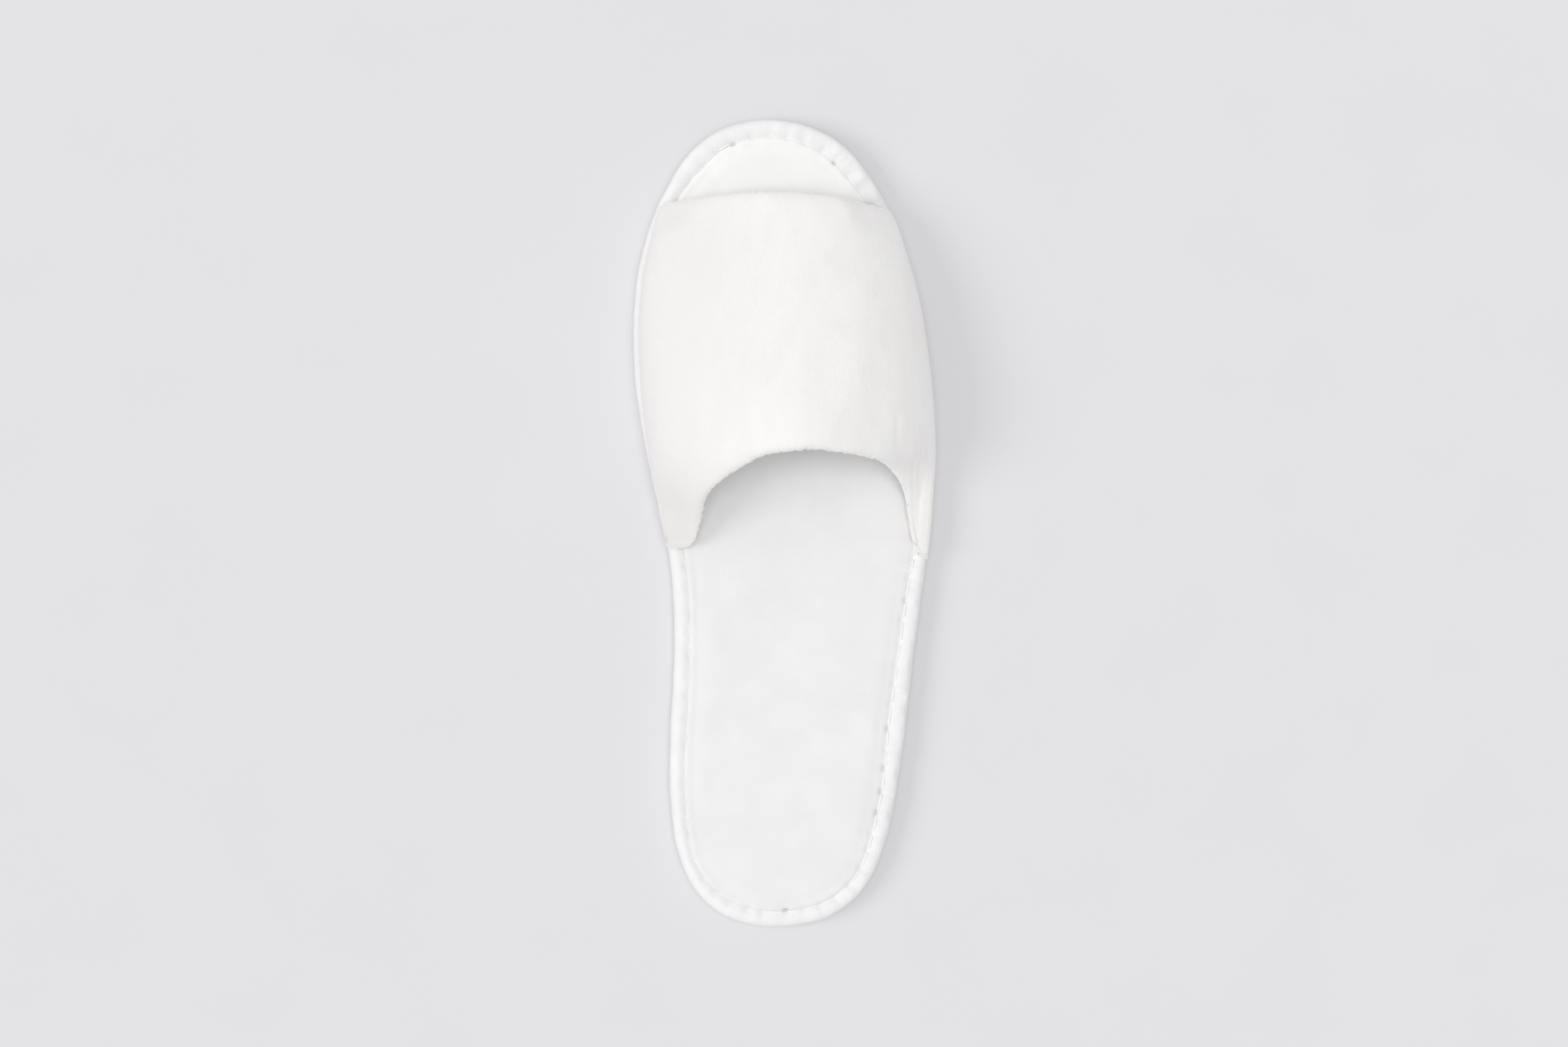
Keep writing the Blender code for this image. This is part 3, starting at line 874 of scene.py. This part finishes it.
def vamp_middle():
    """The middle of the vamp's wall with its share of the thickness, and how far each point is feathered
    out and lies flat."""
    middle, wall = vamp_sheet()
    feather, flat = settle_corners(middle, wall)
    tuck_fold(middle)
    # Where the wall is thin its middle moves out, so that the belly's outer face keeps its place.
    high = over_belly(middle)
    near = bell(high, np.where(high > 0, 5 * MM, 1.5 * MM))
    middle[..., 0] += np.sign(middle[..., 0]) * near * (1 - wall) * UPPER_WALL / 2
    return middle, wall, feather, flat


def nearest(points, line):
    """Each point's distance to a line, which is read every 0.15 mm."""
    along = chords(line)
    fine = np.arange(0, along[-1], 0.15 * MM)
    line = np.stack([np.interp(fine, along, line[:, k]) for k in range(3)], axis=1)
    points_in_row = points.reshape(-1, 3)
    found = np.full(len(points_in_row), np.inf)
    for place in line:
        found = np.minimum(found, ((points_in_row - place) ** 2).sum(axis=1))
    return np.sqrt(found).reshape(points.shape[:-1])


def sheet_normals(places):
    """Which way a sheet of points faces at each of them. It faces up in its middle."""
    normals = unit(np.cross(np.gradient(places, axis=1), np.gradient(places, axis=0)))
    return normals * np.sign(normals[normals.shape[0] // 2, normals.shape[1] // 2, 2])


def vamp_faces():
    """Outer and inner face of the vamp, as two grids of points."""
    middle, wall, feather, flat = vamp_middle()
    collar_gap = nearest(middle, middle[-1])
    toe_gap = nearest(middle, middle[0])
    collar_gap[-1] = toe_gap[0] = 0
    # Both hems roll down over their last stretch, more at the collar.
    roll = 1.9 * MM * np.clip(1 - collar_gap / (11 * MM), 0, 1) ** 2
    roll += 0.9 * MM * np.clip(1 - toe_gap / (7 * MM), 0, 1) ** 2
    middle = middle - sheet_normals(middle) * (roll * smooth_step(wall, 0.75, 1.0))[..., None]
    # A corner that lies down faces up.
    up = np.array((0, 0, 1))
    normal = unit(sheet_normals(middle) * (1 - flat)[..., None] + up * flat[..., None])
    # The edges are blunt, a feathered corner less so, and a low hem swells beside them.
    gap = np.minimum(collar_gap, toe_gap)
    blunt = np.where(toe_gap < collar_gap, 1.2, 1.9) * MM
    nose = quarter_round(gap / (blunt + 3.5 * MM * feather))
    soft = smooth_step(wall, 0.55, 1.0)
    half = UPPER_WALL / 2 * wall + soft * (0.30 * MM * bell(gap - 3.6 * MM, 2.4 * MM))
    cloth = middle.reshape(-1, 3)
    puff = 0.22 * value_noise(cloth, 15 * MM, 4) + 0.08 * value_noise(cloth, 5.5 * MM, 5)
    relief = (puff * MM + crease_heights(cloth)).reshape(middle.shape[:2]) * soft
    relief *= smooth_step(gap, 0.5 * MM, 5 * MM)
    # Tufts of pile make the folded edges ragged.
    edge = unit(np.gradient(middle, axis=0)) * np.where(collar_gap < toe_gap, 1, -1)[..., None]
    tufts = 0.20 * value_noise(cloth, 0.9 * MM, 9) + 0.22 * value_noise(cloth, 2.2 * MM, 10)
    tufts = tufts.reshape(gap.shape) * MM * (1 - smooth_step(gap, 0.3 * MM, 1.6 * MM)) * soft
    middle = middle + edge * tufts[..., None]
    outer = middle + normal * ((half * nose + relief)[..., None])
    inner = middle - normal * (((half + 0.25 * MM * soft) * nose - 0.6 * relief)[..., None])
    return outer, inner


def make_vamp():
    """Padded velour: an arched sheet with its lining, its edges folded soft and round. Gives the vamp and
    the points of its outer face."""
    outer, inner = vamp_faces()
    places = np.concatenate([outer, inner[-2::-1]])
    vamp = lay_sheet("vamp", places)
    scale_uv(vamp, chords(outer[len(outer) // 2])[-1], chords(places[:, VAMP_COLUMNS // 2])[-1])
    vamp.data.materials.append(velour())
    vamp.data.materials.append(lining())
    rows = np.arange(len(vamp.data.polygons)) // (VAMP_COLUMNS - 1)
    lined = (rows > len(outer) + LINING_ENDS[0]) & (rows < len(places) - LINING_ENDS[1])
    vamp.data.polygons.foreach_set("material_index", lined.astype(np.int32))
    close_seams(vamp)
    return vamp, outer


# The thread.

THREAD_RADIUS = 0.32 * MM
THREAD_SIDES = 8
THREAD_STEPS = 14
# Shares of the gap between two holes: what a stitch leaves free at each end, and the part of the stitch
# over which it dives into its hole.
STITCH_FREE = 0.06
DIVE_SHARE = 0.16


def model_stitch():
    """One stitch, 1 m long on X about the origin, as thick as its thread."""
    stitch = add_primitive(
        "stitch",
        bpy.ops.mesh.primitive_cylinder_add,
        vertices=THREAD_SIDES,
        radius=THREAD_RADIUS,
        depth=1,
        end_fill_type="NGON",
        rotation=(0, math.pi / 2, 0),
    )
    bpy.ops.object.transform_apply(location=True, rotation=True, scale=True)
    bpy.ops.object.mode_set(mode="EDIT")
    edit = bmesh.from_edit_mesh(stitch.data)
    long = [e for e in edit.edges if abs(e.verts[0].co.x - e.verts[1].co.x) > 0.5]
    bmesh.ops.subdivide_edges(edit, edges=long, cuts=THREAD_STEPS - 1, use_grid_fill=True)
    bmesh.update_edit_mesh(stitch.data)
    bpy.ops.object.mode_set(mode="OBJECT")
    return stitch


def tape_top(along, inset):
    """Height of the tape's top at a length along the edge and an inset."""
    insets, heights, _ = tape_section(along)
    found = np.empty(len(insets))
    for i, (row_in, row_up) in enumerate(zip(insets, heights)):
        upper = row_up > 7.6 * MM
        order = np.argsort(row_in[upper])
        found[i] = np.interp(inset[i], row_in[upper][order], row_up[upper][order])
    return found


def lay_stitches(name, model, side):
    """Copies the stitch into every gap between two needle holes: side 1 on top, -1 underneath."""
    base = points_of(model)
    share = base[:, 0] + 0.5
    dive = 1 - quarter_round(np.minimum(share, 1 - share) / DIVE_SHARE)
    ends = np.append(HOLES, HOLES[0] + EDGE_LENGTH)
    copies = []
    for start, stop in zip(ends, ends[1:]):
        along = start + (stop - start) * (STITCH_FREE + (1 - 2 * STITCH_FREE) * share)
        if side > 0:
            # A stitch that is drawn tight sinks into the tape.
            inset = seam_inset(along) - 0.62 * MM
            height = tape_top(along, inset) + (0.12 - 0.55 * tight(along)) * MM - 1.3 * MM * dive
        else:
            inset = 4.1 * MM + 0 * along
            height = 0.40 * MM + 0.8 * MM * dive
        plan = on_edge(along, inset)
        inward = (on_edge(along, inset + 1 * MM) - plan) / MM
        raised = height + base[:, 2] + lift(plan[:, 1])
        copies.append(np.column_stack([plan + inward * base[:, 1:2], raised]))
    return join_copies(name, model, copies)


def join_copies(name, model, copies):
    """One mesh from copies of a model whose points have each been put in their own places."""
    count = len(model.data.vertices)
    faces = [tuple(face.vertices) for face in model.data.polygons]
    uv = [loop.uv[:] for loop in model.data.uv_layers[0].data]
    mesh = bpy.data.meshes.new(name)
    mesh.from_pydata(
        np.concatenate(copies).tolist(),
        [],
        [tuple(i + n * count for i in face) for n in range(len(copies)) for face in faces],
    )
    layer = mesh.uv_layers.new(name="cloth")
    layer.data.foreach_set("uv", np.array(uv * len(copies), np.float32).ravel())
    piece = bpy.data.objects.new(name, mesh)
    bpy.context.scene.collection.objects.link(piece)
    return piece


# Nap.

NAP_TUFTS = 1500
TUFT_FIBRES = 11
TUFT_RADIUS = 0.13 * MM
FIBRE_RADIUS = 0.055 * MM
FIBRE_ROOT = 0.15 * MM
# Shares of the vamp's width where tufts stand, share of them at the toe, and rows from an edge.
NAP_SPAN = (0.085, 0.915)
NAP_AT_TOE = 0.36
NAP_ROWS = 3.4


def model_fibre():
    """One fibre of the nap along Z, from 0 to 1: three sides to a point."""
    fibre = add_primitive(
        "fibre",
        bpy.ops.mesh.primitive_cone_add,
        vertices=3,
        radius1=1,
        radius2=0,
        depth=1,
        location=(0, 0, 0.5),
    )
    bpy.ops.object.transform_apply(location=True, rotation=True, scale=True)
    return fibre


def lay_fibres(name, model, roots, directions, lengths, radius):
    """A fibre at every root, leaning its own way."""
    base = points_of(model)
    side = unit(np.cross(directions, rng.normal(size=directions.shape)))
    other = np.cross(directions, side)
    copies = (
        roots[:, None]
        + base[None, :, 2:3] * (directions * lengths[:, None])[:, None]
        + base[None, :, 0:1] * (side * radius)[:, None]
        + base[None, :, 1:2] * (other * radius)[:, None]
    )
    return join_copies(name, model, list(copies))


def pick(grid, rows, columns):
    """Places on a grid of points at fractional rows and columns."""
    r = np.clip(rows.astype(int), 0, grid.shape[0] - 2)
    c = np.clip(columns.astype(int), 0, grid.shape[1] - 2)
    past_row = (rows - r)[:, None]
    past_column = (columns - c)[:, None]
    near = grid[r, c] * (1 - past_column) + grid[r, c + 1] * past_column
    far = grid[r + 1, c] * (1 - past_column) + grid[r + 1, c + 1] * past_column
    return near * (1 - past_row) + far * past_row


def make_nap(outer, model):
    """Short nap on the vamp's folded edges, clumped in tufts."""
    out = unit(np.gradient(outer, axis=0))
    columns = rng.uniform(*NAP_SPAN, NAP_TUFTS) * VAMP_COLUMNS
    at_toe = rng.uniform(size=NAP_TUFTS) < NAP_AT_TOE
    depth = rng.uniform(0, NAP_ROWS, NAP_TUFTS)
    rows = np.where(at_toe, depth, len(outer) - 1.001 - depth)
    roots = pick(outer, rows, columns)
    away = np.where(at_toe, -1, 1)[:, None] * pick(out, rows, columns)
    lean = rng.uniform(0.5, 1.5, NAP_TUFTS)[:, None]
    up = pick(sheet_normals(outer), rows, columns)
    aim = away * lean + 0.6 * up + rng.normal(scale=0.3, size=roots.shape)
    long = rng.uniform(0.25, 0.75, NAP_TUFTS) * MM
    roots, aim, long = [np.repeat(given, TUFT_FIBRES, axis=0) for given in (roots, aim, long)]
    roots = roots + rng.normal(scale=TUFT_RADIUS, size=roots.shape)
    directions = unit(aim + rng.normal(scale=0.22, size=aim.shape))
    lengths = long * rng.uniform(0.7, 1.1, len(long))
    return lay_fibres("vamp_nap", model, roots - directions * FIBRE_ROOT, directions, lengths, FIBRE_RADIUS)


# Materials.

# A Mix node's two colours and what it gives, and where a colour ramp starts and ends.
MIX_FIRST, MIX_SECOND, MIXED = 6, 7, 2
RAMP_STOPS = (0.3, 0.7)
# A wave texture's bands lie this far apart, in metres, at a scale of 1.
WAVE_PITCH = 2 * math.pi / 20
# Middle of the painted shade on the vamp's medial leg.
MEDIAL_LEG_SHADE = (-47 * MM, -8 * MM, 14 * MM)


def linear(colour):
    """An sRGB hex colour as linear RGBA."""
    channels = [int(colour[i : i + 2], 16) / 255 for i in (1, 3, 5)]
    return (*[c / 12.92 if c <= 0.04045 else ((c + 0.055) / 1.055) ** 2.4 for c in channels], 1)


def add_node(material, kind, give, inputs, shades=(), **settings):
    """Adds a node with its settings, and gives one of its outputs.

    An input is a plain value, or another node's output. Shades are the colours at a ramp's stops.
    """
    tree = material.node_tree
    node = tree.nodes.new("ShaderNode" + kind)
    for name, value in settings.items():
        setattr(node, name, value)
    for name, value in inputs.items():
        if isinstance(value, bpy.types.NodeSocket):
            tree.links.new(value, node.inputs[name])
        else:
            node.inputs[name].default_value = value
    for i, shade in enumerate(shades):
        node.color_ramp.elements[i].position = RAMP_STOPS[i]
        node.color_ramp.elements[i].color = linear(shade)
    return node.outputs[give]


def new_material(name, roughness, sheen=0.0, sheen_roughness=0.5, seep=0.0):
    """A material with no pattern yet, and the place on its piece for patterns to read."""
    material = bpy.data.materials.new(name)
    material.use_nodes = True
    shader = material.node_tree.nodes["Principled BSDF"]
    shader.inputs["Roughness"].default_value = roughness
    shader.inputs["Sheen Weight"].default_value = sheen
    shader.inputs["Sheen Roughness"].default_value = sheen_roughness
    # Light seeps into white foam and cloth by a few millimetres.
    shader.inputs["Subsurface Weight"].default_value = seep
    shader.inputs["Subsurface Radius"].default_value = (1, 1, 1)
    shader.inputs["Subsurface Scale"].default_value = 2.5 * MM
    return material, add_node(material, "TexCoord", "Object", {})


def shade_needle_holes(material, colour):
    """Darkens a colour with painted shade where the piece is marked with open needle holes."""
    marks = add_node(material, "Attribute", "Fac", {}, attribute_name="hole")
    hole_shade = {"Factor": marks, MIX_FIRST: colour, MIX_SECOND: linear("#A8A8AA")}
    return add_node(material, "Mix", MIXED, hole_shade, data_type="RGBA")


def fade(material, value, start, end, colour, beyond):
    """Turns a colour softly into the one beyond it, as a value goes from start to end."""
    reach = {"Value": value, "From Min": start, "From Max": end}
    share = add_node(material, "MapRange", "Result", reach, interpolation_type="SMOOTHSTEP")
    both = {"Factor": share, MIX_FIRST: colour, MIX_SECOND: beyond}
    return add_node(material, "Mix", MIXED, both, data_type="RGBA")


def dress(material, colour, *reliefs):
    """Links a colour to the material's shader, and reliefs laid one over another: each is a pattern, its
    height and its strength."""
    shader = material.node_tree.nodes["Principled BSDF"]
    material.node_tree.links.new(colour, shader.inputs["Base Color"])
    under = {}
    for pattern, height, strength in reliefs:
        relief = {"Height": pattern, "Distance": height, "Strength": strength, **under}
        under = {"Normal": add_node(material, "Bump", "Normal", relief)}
    material.node_tree.links.new(under["Normal"], shader.inputs["Normal"])
    return material


def velour():
    """Brushed polyester velour: cut pile raised with wire brushes. It gives a chalky white with no gloss,
    a pale bloom where it turns away, and soft tufts lying towards the heel."""
    material, place = new_material("brushed_velour", 1.0, 0.25, 0.6, 0.5)
    combed = add_node(material, "Mapping", "Vector", {"Vector": place, "Scale": (1, 0.45, 1)})
    tufts = add_node(material, "TexNoise", "Fac", {"Vector": combed, "Scale": 1 / (1.1 * MM), "Detail": 3.0})
    pile = add_node(material, "TexNoise", "Fac", {"Vector": place, "Scale": 1 / (0.35 * MM)})
    clouds = add_node(material, "TexNoise", "Fac", {"Vector": combed, "Scale": 1 / (9 * MM)})
    colour = add_node(material, "ValToRGB", "Color", {"Fac": clouds}, ("#F4F2F1", "#F9F7F6"))
    # Painted shade: the velour turns a shade greyer towards its medial side, and greyer still round the
    # medial leg.
    across = add_node(material, "SeparateXYZ", "X", {"Vector": place})
    away = add_node(material, "VectorMath", "Value", {0: place, 1: MEDIAL_LEG_SHADE}, operation="DISTANCE")
    colour = fade(material, across, -2 * MM, -46 * MM, colour, linear("#EEECEB"))
    colour = fade(material, away, 40 * MM, 8 * MM, colour, linear("#E6E4E2"))
    return dress(material, colour, (tufts, 0.22 * MM, 0.6), (pile, 0.12 * MM, 0.6))


def pile_fibre():
    """Loose ends of the polyester pile: straight matte filaments, the brightest white on the slipper."""
    material, place = new_material("pile_fibre", 1.0, 0.3, 0.6)
    strands = add_node(material, "TexNoise", "Fac", {"Vector": place, "Scale": 1 / (0.3 * MM), "Detail": 1.0})
    colour = add_node(material, "ValToRGB", "Color", {"Fac": strands}, ("#FBFBFA", "#FFFFFF"))
    return dress(material, colour, (strands, 0.01 * MM, 0.2))


def lining():
    """Warp-knit polyester lining: a thin smooth knit bonded to the foam. It gives fine wales and a faint
    sheen."""
    material, place = new_material("knit_lining", 0.9, 0.15, 0.5, 0.5)
    loops = add_node(material, "TexVoronoi", "Distance", {"Vector": place, "Scale": 1 / (0.55 * MM)})
    clouds = add_node(material, "TexNoise", "Fac", {"Vector": place, "Scale": 1 / (12 * MM)})
    colour = add_node(material, "ValToRGB", "Color", {"Fac": clouds}, ("#F6F6F5", "#FAFAF9"))
    return dress(material, colour, (loops, 0.12 * MM, 0.6))


def brushed_cloth():
    """Brushed polyester over foam: a short flat nap, pressed smooth. It gives an even neutral white,
    lightened at the toe by painted light."""
    material, place = new_material("brushed_cloth", 1.0, 0.15, 0.6)
    nap = add_node(material, "TexNoise", "Fac", {"Vector": place, "Scale": 1 / (0.5 * MM), "Detail": 3.0})
    clouds = add_node(material, "TexNoise", "Fac", {"Vector": place, "Scale": 1 / (14 * MM)})
    heel_white = add_node(material, "ValToRGB", "Color", {"Fac": clouds}, ("#ECEBEB", "#F0EFEF"))
    toe_painted_light = add_node(material, "ValToRGB", "Color", {"Fac": clouds}, ("#F6F6F5", "#FAFAF9"))
    forward = add_node(material, "SeparateXYZ", "Y", {"Vector": place})
    # Painted light: the footbed turns lighter towards the toe, and painted shade darkens its open needle
    # holes.
    colour = fade(material, forward, station_y(0.80), station_y(0.92), heel_white, toe_painted_light)
    return dress(material, shade_needle_holes(material, colour), (nap, 0.12 * MM, 0.5))


def knit_tape():
    """Knitted polyester binding: a narrow ribbed band folded lengthwise. It gives fine ribs 1.2 mm apart
    round the edge, and a whiter, smoother face than the velour's."""
    material, place = new_material("knit_tape", 0.85, 0.2)
    cloth = add_node(material, "UVMap", "UV", {}, uv_map="cloth")
    ribs = add_node(
        material,
        "TexWave",
        "Fac",
        {"Vector": cloth, "Scale": WAVE_PITCH / (1.2 * MM), "Distortion": 1.2, "Detail": 1.0},
        bands_direction="Y",
    )
    nap = add_node(material, "TexNoise", "Fac", {"Vector": place, "Scale": 1 / (0.6 * MM), "Detail": 3.0})
    clouds = add_node(material, "TexNoise", "Fac", {"Vector": place, "Scale": 1 / (7 * MM)})
    colour = add_node(material, "ValToRGB", "Color", {"Fac": clouds}, ("#F0EFEF", "#F5F4F4"))
    # Painted shade darkens the tape's open needle holes.
    return dress(material, shade_needle_holes(material, colour), (ribs, 0.06 * MM, 0.6), (nap, 0.14 * MM, 0.6))


def twisted_thread():
    """Two-ply polyester sewing thread: twisted smooth filament. It gives slanting plies and a bright white
    with a slight lustre."""
    material, _ = new_material("twisted_thread", 0.75, 0.1)
    cloth = add_node(material, "UVMap", "UV", {}, uv_map="cloth")
    slant = {"Vector": cloth, "Rotation": (0, 0, math.radians(35))}
    turned = add_node(material, "Mapping", "Vector", slant)
    plies = add_node(material, "TexWave", "Fac", {"Vector": turned, "Scale": 5.0}, bands_direction="X")
    colour = add_node(material, "ValToRGB", "Color", {"Fac": plies}, ("#F5F5F4", "#FBFBFB"))
    return dress(material, colour, (plies, 0.03 * MM, 0.4))


def foam_sheet():
    """Closed-cell EVA foam sheet, cut flat. It gives a matte face with a fine skin of cells, embossed with
    a small dot grip."""
    material, place = new_material("eva_foam", 0.75)
    cells = add_node(material, "TexVoronoi", "Distance", {"Vector": place, "Scale": 1 / (0.5 * MM)})
    grip = add_node(
        material,
        "TexVoronoi",
        "Distance",
        {"Vector": place, "Scale": 1 / (3 * MM), "Randomness": 0.0},
        voronoi_dimensions="2D",
    )
    dots = add_node(material, "Math", "Value", {0: grip, 1: 0.3}, operation="LESS_THAN")
    clouds = add_node(material, "TexNoise", "Fac", {"Vector": place, "Scale": 1 / (18 * MM)})
    colour = add_node(material, "ValToRGB", "Color", {"Fac": clouds}, ("#E6E6E4", "#ECECEA"))
    return dress(material, colour, (dots, 0.3 * MM, 0.5), (cells, 0.08 * MM, 0.5))


def painted_board():
    """Board under the slipper, with rolled matte paint. It gives a plain pale grey with hardly any grain."""
    material, place = new_material("painted_board", 0.9)
    grain = add_node(material, "TexNoise", "Fac", {"Vector": place, "Scale": 1 / (40 * MM)})
    colour = add_node(material, "ValToRGB", "Color", {"Fac": grain}, ("#E0E0E2", "#E1E1E3"))
    return dress(material, colour, (grain, 0.02 * MM, 0.2))


# The slipper.

footbed = make_footbed()
footbed.data.materials.append(brushed_cloth())
finish_piece(footbed, "insole")

tape = make_tape()
tape.data.materials.append(knit_tape())
finish_piece(tape, "edge_binding")

vamp, vamp_outer = make_vamp()
finish_piece(vamp, "upper")

stitch = model_stitch()
thread_finish = twisted_thread()
for name, side in (("top_thread", 1), ("bottom_thread", -1)):
    thread = lay_stitches(name, stitch, side)
    thread.data.materials.append(thread_finish)
    finish_piece(thread)
bpy.data.objects.remove(stitch)

fibre = model_fibre()
nap = make_nap(vamp_outer, fibre)
nap.data.materials.append(pile_fibre())
finish_piece(nap)
bpy.data.objects.remove(fibre)

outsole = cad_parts["outsole"]
outsole.data.materials.clear()
outsole.data.materials.append(foam_sheet())

# Floor, light and camera.

floor = add_primitive("floor", bpy.ops.mesh.primitive_plane_add, size=12, location=(0, 0, 0))
floor.data.materials.append(painted_board())

# Pale walls light the room evenly from all round.
world = bpy.data.worlds.new("room")
world.use_nodes = True
background = world.node_tree.nodes["Background"]
background.inputs["Color"].default_value = (1, 1, 1, 1)
background.inputs["Strength"].default_value = 0.55
bpy.context.scene.world = world

# A softbox overhead and a window on the medial side: direction, strength, and width in degrees.
LAMPS = (
    ("softbox", Vector((0, 0, 1)), 1.0, 32),
    ("window", Vector((-0.77, -0.05, 0.64)), 0.78, 28),
)
for name, place, strength, spread in LAMPS:
    bpy.ops.object.light_add(type="SUN", location=place)
    lamp = bpy.context.active_object
    lamp.name = name
    lamp.data.energy = strength
    lamp.data.angle = math.radians(spread)
    lamp.rotation_mode = "QUATERNION"
    lamp.rotation_quaternion = place.to_track_quat("Z", "Y")

# The camera hangs beside the slipper, looks at the middle of its sole and sees a field this wide there.
CAMERA_HEIGHT = 1.2
AIM_HEIGHT = 0.006
FIELD_WIDTH = 0.553
SENSOR_WIDTH = 36
camera_place = Vector((-0.0665, -0.0026, CAMERA_HEIGHT))
aim = Vector(((CAD_LOW.x + CAD_HIGH.x) / 2, (CAD_LOW.y + CAD_HIGH.y) / 2, AIM_HEIGHT))
bpy.ops.object.camera_add(location=camera_place)
camera = bpy.context.active_object
camera.rotation_mode = "QUATERNION"
back = (camera_place - aim).normalized()
right = Vector((0, 1, 0)).cross(back).normalized()
camera.rotation_quaternion = Matrix((right, back.cross(right), back)).transposed().to_quaternion()
camera.data.sensor_width = SENSOR_WIDTH
camera.data.lens = SENSOR_WIDTH * (CAMERA_HEIGHT - AIM_HEIGHT) / FIELD_WIDTH
camera.data.dof.use_dof = False
bpy.context.scene.camera = camera
bpy.context.scene.view_settings.view_transform = "Standard"
